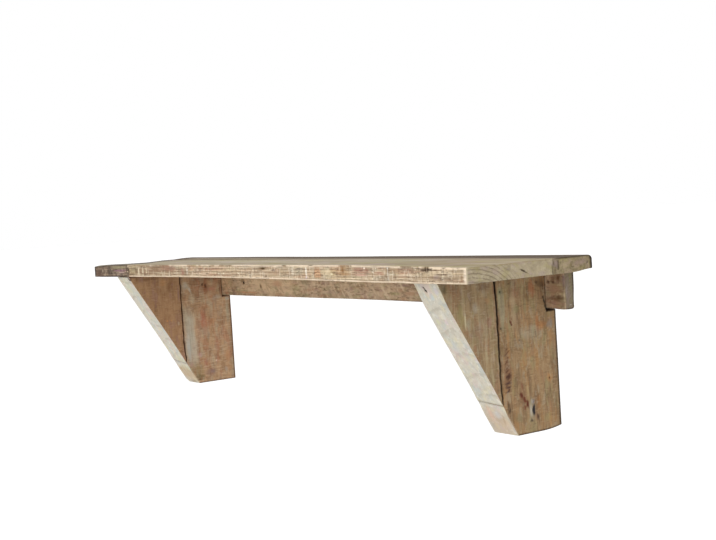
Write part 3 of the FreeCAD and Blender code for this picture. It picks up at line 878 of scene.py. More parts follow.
# Top of the front plank: wide pale, pink and brown clouds.
FRONT_TOP_MARKS = (
    Mark(440, -110, 150, 130, "8E7B56", 0.55),
    Mark(385, -60, 60, 50, "9A8478", 0.45),
    Mark(250, -120, 80, 40, "A29C86", 0.4),
    Mark(90, -90, 90, 60, "9F9082", 0.4),
    Mark(-60, -140, 110, 40, "B0A693", 0.4),
    Mark(-400, -150, 70, 36, "857A5A", 0.5),
)

# Right end of the top: checks and rough spots, the dirt on both sides of the joint, and a painted highlight
# along a check's lip.
FRONT_PLANK_END_MARKS = (
    Mark(-112.5, 32.8, 7.0, 1.2, "38291A", 0.95, sink=0.5, turn=-30, crisp=2.0),
    Mark(-117.0, 35.0, 3.4, 0.9, "5E4E36", 0.8, turn=-24),
    # painted highlight: a pale line along the check's lip
    Mark(-107, 31.4, 5.5, 0.8, "CFC2A4", 0.6, turn=-36),
    Mark(-141.5, 34.0, 1.0, 3.0, "65553F", 0.65),
    Mark(-143.5, 28.0, 0.9, 3.0, "65553F", 0.6),
    Mark(-137, 37.2, 3.5, 2.4, "8C7C72", 0.6),
    Mark(-175, 26.0, 14, 3.0, "8D8063", 0.4),
    Mark(-90, 33.0, 14, 7.0, "AFA184", 0.4),
    Mark(-67.2, 31.5, 0.9, 9.0, "4A3C24", 0.85, crisp=1.5),
)
BACK_PLANK_END_MARKS = (
    Mark(-61.5, 38.0, 5.0, 6.5, "86756C", 0.8, crisp=1.5),
    Mark(-64.5, 38.5, 1.4, 4.0, "544634", 0.8),
    Mark(-56.5, 37.0, 2.4, 7.5, "4E4030", 0.85, crisp=1.5),
    Mark(-56.5, 32.0, 2.0, 3.5, "4A3E26", 0.85),
    Mark(-62.5, 28.0, 2.4, 5.0, "6A5B44", 0.75),
    Mark(-46, 36.0, 9.0, 12.0, "A39472", 0.55),
    Mark(-36.7, 34.4, 2.2, 5.0, "5E502E", 0.8),
    Mark(-32, 32.3, 1.8, 1.4, "43371F", 0.85),
    Mark(-21, 36.5, 12, 5.0, "8F7A6E", 0.7),
    Mark(-18, 28.4, 14, 2.6, "857A4C", 0.5),
    Mark(-9, 34.0, 3.0, 2.2, "5A4A40", 0.8),
)

# Left bracket's cheeks: mould by the joint, a forked knot, level saw cuts, red streaks of old paint, and a
# painted shade line in front of the notch.
LEFT_BACK_MARKS = (
    Mark(-44, 9.0, 46, 6.0, "6E4A30", 0.5),
    Mark(-52, -5.5, 13, 15.0, "84502F", 0.7),
    Mark(-54.8, -1.2, 2.6, 3.4, "42260F", 0.9, turn=-30),
    Mark(-48.7, -4.0, 2.4, 5.0, "42260F", 0.9, turn=15),
    Mark(-36, -10.0, 10, 4.0, "B87A64", 0.5),
    Mark(-28, -25.5, 9.5, 6.0, "A59A88", 0.55),
    Mark(-89, -1.0, 8, 8.5, "AFA794", 0.65),
    Mark(-77, -24.0, 7.5, 12.0, "BEAC8E", 0.6),
    Mark(-80.5, -9.0, 2.8, 9.0, "C4BEAC", 0.6, turn=24),
    Mark(-63, -22.8, 14, 0.9, "6A5444", 0.65),
    Mark(-65, -26.8, 15, 0.9, "665040", 0.65),
    Mark(-67, -30.8, 13, 0.9, "6A5444", 0.65),
    Mark(-67, -35.2, 11, 0.9, "705A48", 0.6),
    Mark(-68, -39.6, 10, 0.9, "705A48", 0.5),
    Mark(-53, -40.0, 9, 7.0, "B07852", 0.5),
    Mark(-42, -66.0, 11, 10.0, "B27E58", 0.5),
    Mark(-56, -67.0, 9.0, 34.0, "A86A50", 0.55, turn=8),
    Mark(-58, -60.0, 6.0, 19.0, "A8644E", 0.32, turn=8),
    Mark(-64, -78.0, 4.0, 1.2, "54321F", 0.7),
    Mark(-75, -80.0, 6, 44.0, "BC9A78", 0.6),
    Mark(-67, -82.0, 6, 32.0, "BA987C", 0.6),
    Mark(-86.0, -66.0, 13, 38.0, "B9B29C", 0.66),
    Mark(-84.5, -106.0, 15.5, 46.0, "B6AE9C", 0.7),
    Mark(-89.5, -108.0, 5.0, 30.0, "A9AFAE", 0.3),
    Mark(-85.5, -100.0, 1.0, 24.0, "7E7868", 0.5),
    Mark(-81.5, -84.0, 1.0, 22.0, "807A68", 0.5),
    Mark(-7.5, -53.0, 5.0, 27.0, "96957E", 0.5),
    Mark(-7, -30.0, 5.0, 4.0, "A3A8A0", 0.5),
    Mark(-67.5, -124.0, 5.2, 6.0, "B48F8C", 0.6),
    Mark(-86.5, -139.0, 5.0, 5.5, "A47A6E", 0.6),
    Mark(-33.5, -108.0, 5.4, 24.0, "96604A", 0.5),
    Mark(-58, -139.0, 4.6, 11.0, "A0604A", 0.5),
    Mark(-33, -134.0, 4.5, 11.0, "9E6048", 0.45),
    Mark(-47, -155.0, 15, 8.0, "80685E", 0.6),
    Mark(-46, -155.5, 6, 4.0, "7C6C6E", 0.35),
    Mark(-37.3, -137.4, 2.4, 1.0, "EACBB2", 0.95),
    Mark(-37.3, -137.0, 1.0, 2.2, "EACBB2", 0.8),
    Mark(-12, -132.0, 10, 13.0, "AE7C56", 0.5),
    Mark(-12, -152.0, 9, 8.0, "A87A54", 0.4),
    Mark(-18, -154.5, 4.6, 5.5, "9C9184", 0.5),
    Mark(-76, -150.0, 15, 17.0, "8A744E", 0.6),
    Mark(-70, -162.0, 10, 5.0, "6A5A38", 0.65),
    Mark(-49, -118.0, 7, 9.0, "8E7A62", 0.4),
    Mark(-70, -167.0, 9, 1.8, "5A4A2E", 0.75),
    Mark(-85, -158.0, 2.0, 11.0, "CDB28C", 0.6, turn=31),
    Mark(-76, -170.0, 6.5, 2.6, "CDB392", 0.6),
    Mark(-18.2, 3.0, 1.9, 26.0, "AA8A68", 0.7, crisp=2.0),
    # painted shade: a dark line in front of the notch, where its gap lies in shadow
    Mark(-20.4, -15.0, 0.9, 12.0, "38261A", 0.8),
)
LEFT_FRONT_MARKS = (
    Mark(-156, 17.0, 30, 3.4, "5E4028", 0.45),
    Mark(-130, 8.0, 8, 6.5, "B68658", 0.55),
    Mark(-146, -36.0, 4.5, 16.0, "6C4C30", 0.5),
    Mark(-118, 0.0, 7, 9.0, "7E5838", 0.5),
    Mark(-106, -64.0, 3.0, 4.2, "C2AE90", 0.6),
    Mark(-102, -12.0, 2.2, 18.0, "8C6E66", 0.6),
    Mark(-126.6, -58.0, 2.2, 2.2, "C0824E", 0.7),
    Mark(-119, -58.0, 2.0, 2.0, "C0824E", 0.5),
    Mark(-112, -96.0, 8, 16.0, "93714F", 0.4),
)

# Where the plane tore the fibres: a row of short slanting flecks.
TORN_FLECKS = tuple(
    Mark(
        -86.2 + 2.6 * math.sin(2.3 * step),
        -66.0 - 3.3 * step,
        3.2 + 1.2 * math.sin(1.7 * step),
        1.2,
        "4E2C1E",
        0.6 + 0.02 * step + 0.15 * math.sin(step),
        sink=0.2,
        turn=34.0,
    )
    for step in range(16)
)

# Right bracket's cheeks: a hole, torn flecks along the joint, a nail in its halo, red branches, and a
# painted shade line in front of the notch.
RIGHT_BACK_MARKS = (
    Mark(-91.5, -15.0, 6.0, 32.0, "A29A7C", 0.65, crisp=1.5),
    Mark(-91.5, 4.3, 4.6, 4.6, "6A684C", 0.5),
    Mark(-91.5, 4.3, 2.0, 2.1, "343022", 0.95, sink=0.5),
    Mark(-93.6, -39.8, 1.7, 2.2, "2A1E14", 0.85),
    Mark(-68, 3.0, 14, 10.0, "8C644C", 0.5),
    Mark(-77.4, 12.9, 2.2, 1.2, "452C1C", 0.8),
    Mark(-67, 13.0, 3.0, 1.2, "553A28", 0.7),
    Mark(-41, 3.0, 7.0, 16.0, "A0603E", 0.6),
    Mark(-25, 9.0, 9.0, 7.0, "5E4832", 0.5),
    Mark(-20.5, 5.0, 1.8, 8.0, "463424", 0.6),
    Mark(-31, 11.0, 3.0, 2.4, "4E3424", 0.6),
    # painted shade: a dark line in front of the notch, where the batten's gap lies in shadow
    Mark(-20.4, -8.6, 1.3, 3.0, "2A1B10", 0.95, turn=10, crisp=1.5),
    Mark(-19.4, -13.0, 1.4, 4.6, "1A110A", 0.95, turn=18, crisp=1.5),
    Mark(-18.0, -20.0, 1.6, 6.5, "20160D", 0.95, turn=15),
    Mark(-71, -26.0, 7.0, 32.0, "B8A280", 0.6),
    Mark(-67, -18.5, 7.0, 7.0, "8A8A5C", 0.45),
    Mark(-76.7, -34.8, 1.8, 5.0, "5C2A1C", 0.95, turn=25, crisp=2.0),
    Mark(-75.0, -30.0, 1.3, 3.0, "6E3A28", 0.8, turn=25),
    Mark(-33, -39.0, 3.8, 18.0, "A86C3C", 0.5),
    Mark(-25, -43.0, 9.5, 7.0, "AC703A", 0.5),
    Mark(-12, -42.0, 6.0, 8.0, "7C7A76", 0.6),
    Mark(-48, -50.0, 22, 12.0, "9A9886", 0.4),
    Mark(-64.3, -57.0, 1.4, 1.6, "3C3230", 0.8),
    Mark(-63.9, -63.5, 1.6, 1.4, "3C3230", 0.7),
    Mark(-86, -94.0, 9, 30.0, "7A523A", 0.55),
    *TORN_FLECKS,
    Mark(-85.0, -99.0, 5.6, 3.6, "3E2218", 0.85, sink=0.3, turn=12),
    Mark(-86.5, -107.0, 7.2, 1.8, "48302A", 0.85),
    Mark(-86.7, -112.0, 6.8, 1.6, "48302A", 0.85),
    Mark(-88.0, -117.0, 5.8, 1.4, "45302C", 0.75),
    Mark(-88.5, -133.0, 2.6, 6.0, "4C3C26", 0.75),
    Mark(-85.7, -140.6, 2.6, 5.0, "403222", 0.8),
    Mark(-54.6, -122.0, 3.0, 12.0, "AD9668", 0.5),
    Mark(-62, -128.0, 8, 16.0, "7E5A40", 0.5),
    Mark(-64, -113.0, 1.8, 7.0, "74442E", 0.7, turn=12),
    Mark(-65.8, -124.5, 2.8, 5.0, "5A2A18", 0.95, turn=22, crisp=1.5),
    Mark(-61.0, -131.0, 2.6, 5.0, "62301C", 0.95, turn=22, crisp=1.5),
    Mark(-56.4, -136.0, 2.2, 5.0, "5A2A18", 0.95, crisp=1.5),
    Mark(-60.7, -140.5, 2.0, 4.0, "6C3A26", 0.85),
    Mark(-49.5, -143.0, 6.4, 17.0, "8E8470", 0.6),
    Mark(-51.2, -144.0, 2.6, 9.0, "BAB0A0", 0.75),
    Mark(-49.0, -134.0, 2.2, 4.0, "A89C94", 0.7),
    Mark(-46.6, -134.5, 2.4, 4.0, "7E7878", 0.7),
    Mark(-46.2, -145.5, 3.0, 8.0, "241F22", 1.0, sink=0.4, crisp=1.5),
    Mark(-50.9, -157.6, 2.6, 2.8, "40322A", 0.9),
    Mark(-40.0, -155.0, 2.6, 6.5, "4A3022", 0.9, turn=20),
    Mark(-38.0, -138.0, 4.4, 12.0, "A6703C", 0.5),
    Mark(-31.8, -159.0, 1.3, 6.0, "9A5A3C", 0.5),
    Mark(-23, -157.0, 9.0, 7.0, "94865A", 0.5),
    Mark(-72.0, -152.0, 9.0, 7.0, "7E7658", 0.5),
    Mark(-17, -109.6, 6.5, 6.5, "AC7440", 0.5),
    Mark(-17, -109.6, 1.8, 1.9, "3A2818", 0.9),
    Mark(-40, -95.0, 12, 26.0, "A08058", 0.3),
)
RIGHT_FRONT_MARKS = (
    Mark(-181, 15.0, 8, 7.0, "464028", 0.6),
    Mark(-118, 13.0, 13, 6.0, "664A36", 0.5),
    Mark(-155, -18.0, 6.0, 18.0, "958C5A", 0.45),
    Mark(-148.6, -26.0, 1.6, 13.0, "C6B795", 0.8, crisp=1.5),
    Mark(-132.6, -12.0, 5.0, 8.0, "A29A88", 0.55),
    Mark(-144.5, -30.0, 5.0, 10.0, "9E967E", 0.5),
    Mark(-112.5, -3.6, 6.0, 5.0, "AC8258", 0.5),
    Mark(-111.6, -30.0, 5.8, 9.0, "976C58", 0.5),
    Mark(-118, -62.0, 3.0, 20.0, "AEA180", 0.5),
    Mark(-127, -42.0, 15.0, 18.0, "9C8C76", 0.4),
    Mark(-128, -44.0, 4.0, 14.0, "8A6A4C", 0.35),
    Mark(-104, -78.0, 3.0, 22.0, "7C6A46", 0.5),
)

# The fresh diagonals: a drying check, soft tints, and old colour that the cut didn't reach by the foot.
LEFT_NOSE_MARKS = (
    Mark(-379.5, 18.6, 3.6, 3.6, "30201A", 0.95, crisp=2.0),
    Mark(-381.0, 10.0, 4.0, 8.0, "C6AEAC", 0.5),
    Mark(-402, 8.0, 14, 14.0, "B5BCA6", 0.45),
    Mark(-384, -34.0, 10, 14.0, "CDBAB2", 0.45),
    Mark(-402, -72.0, 12, 20.0, "C9C2BE", 0.4),
    Mark(-392, -128.0, 16, 9.0, "B2B594", 0.55),
)
LEFT_FOOT_MARKS = (
    Mark(-391, -143.0, 20, 10.0, "B4B08E", 0.5),
    Mark(-411.5, -147.0, 3.6, 2.2, "74644A", 0.8),
    Mark(-397, -158.0, 44, 18.0, "B29C7C", 0.85),
    Mark(-392, -170.5, 14.0, 3.0, "86765E", 0.75),
)
RIGHT_NOSE_MARKS = (
    Mark(405.4, 14.8, 1.9, 4.8, "0A0806", 1.0, sink=0.8, turn=24, crisp=3.0),
    Mark(413, 6.0, 6, 6.0, "AFBEC2", 0.55),
    Mark(425, 13.0, 5.5, 6.0, "C8BAC4", 0.5),
    Mark(402, -26.0, 7, 6.0, "C0C296", 0.45),
    Mark(415, -26.0, 4, 4.5, "D2BCC2", 0.5),
    Mark(404, -58.0, 7, 14.0, "B8BCBC", 0.4),
    Mark(420, -92.0, 6, 16.0, "C8B8A8", 0.4),
)
RIGHT_FOOT_MARKS = (
    Mark(412, -158.0, 40, 24.0, "B6A088", 0.75),
    Mark(403, -146.0, 4.0, 16.0, "CDAA90", 0.5),
    Mark(416, -146.0, 8.5, 8.5, "B8BABC", 0.5),
    Mark(426, -158.0, 7.0, 11.0, "CDB294", 0.4),
    Mark(423, -153.0, 1.6, 10.0, "9A8068", 0.55, turn=-20),
)

# The batten: old nail holes, a scrape of paint, blade flecks and the dark band on its stub, a painted shadow
# under the top on the stub, and a pale patch painted lighter beside the left bracket.
BATTEN_MARKS = (
    Mark(-225, -2.0, 120, 24.0, "D6B994", 0.75),
    # pale patch: paler wood, partly painted light that fills the shade beside the left bracket
    Mark(-362, 0.0, 32, 26.0, "D8B288", 0.65),
    Mark(-243.6, -5.5, 3.4, 5.2, "6A4A2A", 0.85, turn=15),
    Mark(-303, 3.0, 8.5, 4.0, "6E5836", 0.7),
    Mark(-289, -17.0, 55, 1.6, "BC7650", 0.6),
    Mark(-358, -19.5, 10, 3.4, "B8604A", 0.55),
    Mark(-319, -13.8, 38, 1.4, "98945E", 0.55),
    Mark(-190, -1.0, 20, 6.0, "AA765A", 0.5),
    Mark(-134, -7.4, 20, 9.0, "9A9468", 0.45),
    Mark(-102, -18.5, 9, 1.6, "7E824C", 0.65),
    Mark(-52.6, -7.8, 3.3, 2.2, "54491F", 0.8),
    Mark(125, -12.0, 18, 3.0, "9E9A66", 0.5),
    Mark(147, 1.5, 26, 2.4, "785C54", 0.6),
    Mark(452, 0.0, 18, 30.0, "8E6848", 0.5),
    # painted shadow: the stub's front darkened under the top
    Mark(457, 15.0, 12, 7.0, "553618", 0.7),
    Mark(439, 10.0, 2.6, 3.0, "3E2413", 0.95),
    Mark(447.7, 9.7, 3.6, 2.4, "3E2413", 0.95),
    Mark(466, 4.0, 1.6, 8.0, "54351C", 0.7),
    Mark(452, 0.5, 13, 6.0, "A68468", 0.65),
    Mark(452, -10.0, 22, 3.8, "66482F", 0.65),
    Mark(459, -9.0, 11, 2.6, "4E3722", 0.55),
    Mark(452, -17.5, 20, 5.0, "B08E74", 0.65),
    Mark(446, -16.0, 6, 3.0, "9A7468", 0.45),
    Mark(456, -19.0, 6, 1.6, "8C8452", 0.55),
    Mark(465.8, 11.0, 3.2, 10.0, "8E7874", 0.7),
)
BATTEN_END_MARKS = (
    Mark(-13.5, -2.0, 1.4, 10.0, "9A8C8C", 0.5),
    Mark(-8.0, 15.0, 1.6, 9.0, "888256", 0.6),
    Mark(-7.5, -18.0, 2.2, 0.9, "CFCAB6", 0.8),
    Mark(-11.5, -15.5, 1.1, 1.5, "3C3632", 0.8),
    Mark(-3.5, -15.5, 1.1, 2.0, "38322E", 0.8),
)


# ----------------------------------------------------------------------------------------- boards


@dataclass
class Timber:
    """One board: the solid it follows, its wood and its faces."""

    node: str
    slot: str
    grain: Grain
    heart: tuple[float, float]  # mm, where the tree's heart lay: y and z, or y and x in an upright board
    seed: int
    face: TimberFinish
    coats: dict[Side, TimberFinish] = field(default_factory=dict)
    marks: dict[Side, tuple[Mark, ...]] = field(default_factory=dict)
    pitch: tuple[float, float, float] = (2.0, 2.0, 2.0)
    radius: float = 1.0  # mm, of a worn arris
    fibre_depth: float = 0.06  # mm, half of what weather took between the fibres
    dip_depth: float = 0.10  # mm, half of how deep the faces dip

    def __post_init__(self) -> None:
        """Reads the board's box from its solid."""
        low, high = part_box(self.node)
        self.low = np.array(low) / MM
        self.high = np.array(high) / MM

    def cuts(self) -> tuple[Array, Array, Array]:
        """The stations along X, Y and Z."""
        return tuple(stations(ends, pitch) for *ends, pitch in zip(self.low, self.high, self.pitch))

    def filled(self, cuts: tuple[Array, Array, Array]) -> Array:
        """Which cells hold wood: all of them, on a plain board."""
        return np.ones([len(line) - 1 for line in cuts], dtype=bool)

    def fold(self, points: Array) -> Array:
        """Takes the block's points to the board's outline: no change on a plain board."""
        return points

    def walls(self) -> list[Wall]:
        """The flat faces between which arrises are rounded."""
        return box_walls(self.low, self.high)

    def radii(self, points: Array) -> Array:
        """The radius of the arris near each point, uneven as hands and weather leave it."""
        return self.radius * (1.0 + 0.45 * noise(points, (38, 38, 38), self.seed))

    def bend(self, points: Array) -> Array:
        """Takes the straight board to its worn and bowed shape: no change on a plain board."""
        return points

    def behind(self, points: Array, side: Side) -> Array:
        """How far each point lies behind one of the board's faces, in millimetres."""
        return depths(points, [box_walls(self.low, self.high)[side]])[:, 0]

    def spots(self, points: Array) -> tuple[list[Mark], list[Array]]:
        """The board's marks, and how much of each of them every point takes.

        Args:
            points: places on the board, in millimetres.

        Returns:
            The marks, and for each of them the share of it that every point takes.
        """
        marks, covers = [], []
        for side, group in self.marks.items():
            near = ramp(self.behind(points, side), 2.6, 0.9)
            plane = points[:, [axis for axis in range(3) if axis != side // 2]]
            marks += group
            covers += [near * mark.weight(plane) for mark in group]
        return marks, covers

    def relief(self, points: Array, normals: Array) -> Array:
        """How deep saw and weather have cut in at each point, in millimetres.

        Args:
            points: places on the board, in millimetres.
            normals: the outward direction at each of them; not used here.

        Returns:
            Millimetres, one value for each point.
        """
        along = (60, 3, 3) if self.grain is Grain.LEVEL else (3, 3, 60)
        fibres = self.fibre_depth * (1.0 + noise(points, along, self.seed + 1))
        dips = self.dip_depth * (1.0 + noise(points, (42, 42, 42), self.seed + 2))
        return fibres + dips

    def wear_and_highlight(self, points: Array) -> Array:
        """How much clean cream is laid at each point, from 0 to 1: worn wood, and a painted highlight on lit
        arrises.
        """
        return np.zeros(len(points))

    def arris(self, points: Array, width: float) -> Array:
        """How close each point is to an arris: 1 on it, and 0 from the given width on."""
        return ramp(np.partition(depths(points, self.walls()), 1, axis=1)[:, 1], width, 0.3 * width)

    def grime_and_shade(self, points: Array) -> Array:
        """How dark each point is painted, from 0 to 1: painted shade along the arrises by the wall, which
        turn away from the light.
        """
        return 0.8 * self.arris(points, 3.0) * ramp(points[:, 1], -4.0, -1.6)

    def zones(self, skin: Skin) -> tuple[list[TimberFinish], Array]:
        """The board's finishes, and the number of the one on each face.

        Args:
            skin: the board's skin.

        Returns:
            The finishes, and for each face the number of its own.
        """
        finishes = [self.face, *dict.fromkeys(self.coats.values())]
        numbers = [finishes.index(self.coats.get(side, self.face)) for side in Side]
        return finishes, np.array(numbers)[skin.sides]

    def build(self) -> bpy.types.Object:
        """Makes the board's mesh, dresses it and puts it in its node's place.

        Returns:
            The piece, which rides on the shelf's body.
        """
        cuts = self.cuts()
        skin = skin_of(cuts, self.filled(cuts))
        skin.points = self.fold(skin.points)
        skin.points = round_over(skin.points, self.walls(), self.radii(skin.points))
        flat = skin.points
        skin.points = self.bend(flat)
        normals = skin.normals()
        depth = self.relief(flat, normals)
        marks, covers = self.spots(flat)
        for mark, cover in zip(marks, covers):
            depth = depth + mark.sink * cover
        skin.points = skin.points - normals * depth[:, None]
        finishes, numbers = self.zones(skin)

        mesh = bpy.data.meshes.new(f"timber_{self.node}")
        mesh.from_pydata((skin.points * MM).tolist(), [], skin.quads.tolist())
        mesh.polygons.foreach_set("material_index", numbers.astype(np.int32))
        mesh.shade_smooth()
        coat = mesh.attributes.new("stain_and_painted_light", "FLOAT_COLOR", "POINT")
        covers = [mark.strength * cover for mark, cover in zip(marks, covers)] or [np.zeros(len(flat))]
        colours = paint(covers, [mark.colour for mark in marks])
        coat.data.foreach_set("color", colours.ravel())
        # clean cream: worn wood, and painted highlights on the front plank's arrises
        worn = self.wear_and_highlight(flat) * (1.0 - colours[:, 3] ** 4)
        for name, values in (("wear_and_highlight", worn), ("grime_and_shade", self.grime_and_shade(flat))):
            layer = mesh.attributes.new(name, "FLOAT", "POINT")
            layer.data.foreach_set("value", np.clip(values, 0.0, 1.0))
        for finish in finishes:
            mesh.materials.append(finish.dress(self))

        piece = put_in_scene(mesh.name, mesh)
        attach(piece, BODY)
        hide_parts(self.node)
        log.info("%s: %d faces, %d finishes", piece.name, len(skin.quads), len(finishes))
        return piece


@dataclass
class Plank(Timber):
    """What both planks of the top share: the glued joint between them."""

    joint_side: Side = Side.BACK

    def radii(self, points: Array) -> Array:
        """Leaves the arrises sharp where the other plank is glued on."""
        return super().radii(points) * ramp(self.behind(points, self.joint_side), 2.0, 5.0)

    def joint_dirt(self, points: Array) -> Array:
        """Dashes of dirt along the glued joint, from 0 to 1."""
        dashes = ramp(noise(points, (30, 60, 4.5), self.seed + 8), -0.1, 0.5)
        return 0.4 * dashes * ramp(self.behind(points, self.joint_side), 1.2, 0.3)


@dataclass
class FrontPlank(Plank):
    """The wide plank of the top, cupped so that the middle of its front edge stands highest."""

    level: float = 42.8  # mm, the top of the plank's back and of its ends
    crown: float = 3.4  # mm that the middle of the front edge stands above them
    crown_at: float = -20.0  # mm, where it stands highest
    crown_reach: float = 500.0  # mm from there to where it ends
    belly: float = 2.5  # mm that the underside of the front edge rises, at its highest
    belly_at: float = -70.0  # mm, where it does
    belly_reach: float = 400.0
    dip: float = 1.9  # mm that the left end is rubbed down
    dip_at: float = -112.0  # mm, how far forward of the wall
    dip_reach: float = 36.0
    rubbed_from: float = -440.0  # mm, x from which the left end is rubbed
    corner_drop: float = 1.4  # mm that its front corner is worn down
    soiled: float = 36.0  # mm that the dirt of the left end reaches along the top
    soiled_tongue: float = 100.0  # mm that it reaches further
    soiled_at: float = -175.0  # mm, where it does
    soiled_spread: float = 55.0
    stain_end: float = -363.0  # mm, where the clean part of the front edge starts
    cracked: tuple[float, float] = (-121.0, -105.0)  # mm, y between which the right end is cracked

    def cuts(self) -> tuple[Array, Array, Array]:
        """Stations that are closer together where the right end is cracked."""
        along, across, up = super().cuts()
        return along, np.union1d(across, np.arange(*self.cracked, 1.7)), up

    def bend(self, points: Array) -> Array:
        """Gives the plank its cup, its bow and its worn thickness.

        Args:
            points: places on the board, in millimetres.

        Returns:
            The points, moved.
        """
        front = ramp(points[:, 1], self.high[1], self.low[1])
        from_crown = np.abs((points[:, 0] - self.crown_at) / self.crown_reach)
        bow = np.clip(1.0 - from_crown**2.6, 0.0, 1.0)
        from_dip = (points[:, 1] - self.dip_at) / self.dip_reach
        rubbed = np.exp(-(from_dip**2)) * ramp(points[:, 0], self.rubbed_from, -500.0)
        corner = ramp(points[:, 0], self.rubbed_from, -496.0) * ramp(points[:, 1], -188.0, -200.0)
        top = self.level + self.crown * bow * front - self.dip * rubbed - self.corner_drop * corner
        from_belly = np.abs((points[:, 0] - self.belly_at) / self.belly_reach)
        rise = np.clip(1.0 - from_belly**1.8, 0.0, 1.0)
        floor = self.low[2] + self.belly * rise * front
        share = (points[:, 2] - self.low[2]) / (self.high[2] - self.low[2])
        bent = points.copy()
        bent[:, 2] = floor + share * (np.minimum(top, self.high[2] - 0.1) - floor)
        return bent

    def relief(self, points: Array, normals: Array) -> Array:
        """Adds upright blade marks and torn level fibres to the front edge.

        Args:
            points: places on the board, in millimetres.
            normals: the outward direction at each of them.

        Returns:
            Millimetres, one value for each point.
        """
        plain = super().relief(points, normals)
        front = np.clip(-normals[:, 1], 0.0, 1.0) ** 2
        blade = 0.16 * (1.0 + noise(points, (3.0, 50, 30), self.seed + 3))
        torn = 0.16 * (1.0 + noise(points, (18, 50, 2.2), self.seed + 4))
        return plain * (0.6 + 0.4 * front) + (blade + torn) * front

    def wear_and_highlight(self, points: Array) -> Array:
        """Cream arrises along the front edge, whole below and broken above: worn wood, and a painted
        highlight where the rounded arrises catch the light.

        Args:
            points: places on the board, in millimetres.

        Returns:
            A share for each point, from 0 to 1.
        """
        clean = ramp(points[:, 0], self.stain_end - 4.0, self.stain_end + 8.0)
        near_front = ramp(points[:, 1], self.low[1] + 3.4, self.low[1] + 1.4)
        below = ramp(points[:, 2], self.low[2] + 2.8, self.low[2] + 1.2)
        below = below * (0.78 + 0.3 * noise(points, (22, 60, 30), self.seed + 9))
        patchy = 0.7 * noise(points, (7, 60, 30), self.seed + 5) + noise(points, (50, 60, 30), self.seed + 7)
        above = ramp(points[:, 2], self.high[2] - 3.4, self.high[2] - 1.6) * ramp(patchy, -0.55, -0.25)
        above = above * ramp(points[:, 0], self.stain_end + 90.0, self.stain_end + 190.0)
        end = ramp(points[:, 0], self.high[0] - 7.0, self.high[0] - 2.0)
        return near_front * clean * np.maximum.reduce([below, 0.8 * above, 0.85 * end])

    def grime_and_shade(self, points: Array) -> Array:
        """Adds painted shade on the underside behind the front arris, and dirt in the planks' joint, on the
        arrises of the stained stretch, on the left end and on the top beside it.

        Args:
            points: places on the board, in millimetres.

        Returns:
            A share for each point, from 0 to 1.
        """
        # painted shade: the underside darkened behind the front arris, where light does not reach
        under = 0.5 * ramp(points[:, 2], self.low[2] + 0.8, self.low[2]) * (points[:, 1] > self.low[1] + 1.5)
        joint = self.joint_dirt(points)
        stained = 0.7 * self.arris(points, 2.6) * ramp(points[:, 0], self.stain_end, self.stain_end - 20.0)
        left = 0.9 * ramp(points[:, 0], self.low[0] + 8.0, self.low[0] + 3.0)
        from_tongue = (points[:, 1] - self.soiled_at) / self.soiled_spread
        edge = self.low[0] + self.soiled + self.soiled_tongue * np.exp(-(from_tongue**2))
        edge += 16.0 * noise(points, (34, 20, 60), self.seed + 10)
        end = 0.86 * ramp(points[:, 0] - edge, 26.0, -16.0) * (points[:, 2] > self.high[2] - 0.8)
        end = end * ramp(points[:, 1], self.low[1] + 5.0, self.low[1] + 16.0)
        return np.maximum.reduce([super().grime_and_shade(points), under, joint, stained, left, end])

    def zones(self, skin: Skin) -> tuple[list[TimberFinish], Array]:
        """The plain zones, and the stained stretch of the front edge with its ragged end.

        Args:
            skin: the board's skin.

        Returns:
            The finishes, and for each face the number of its own.
        """
        finishes, numbers = super().zones(skin)
        middles = skin.centres()
        ragged = self.stain_end + 7.0 * noise(middles, (12, 12, 3), self.seed + 6)
        stained = (skin.sides == Side.FRONT) & (middles[:, 0] < ragged)
        return [*finishes, STAINED_SAWN_PINE], np.where(stained, len(finishes), numbers)


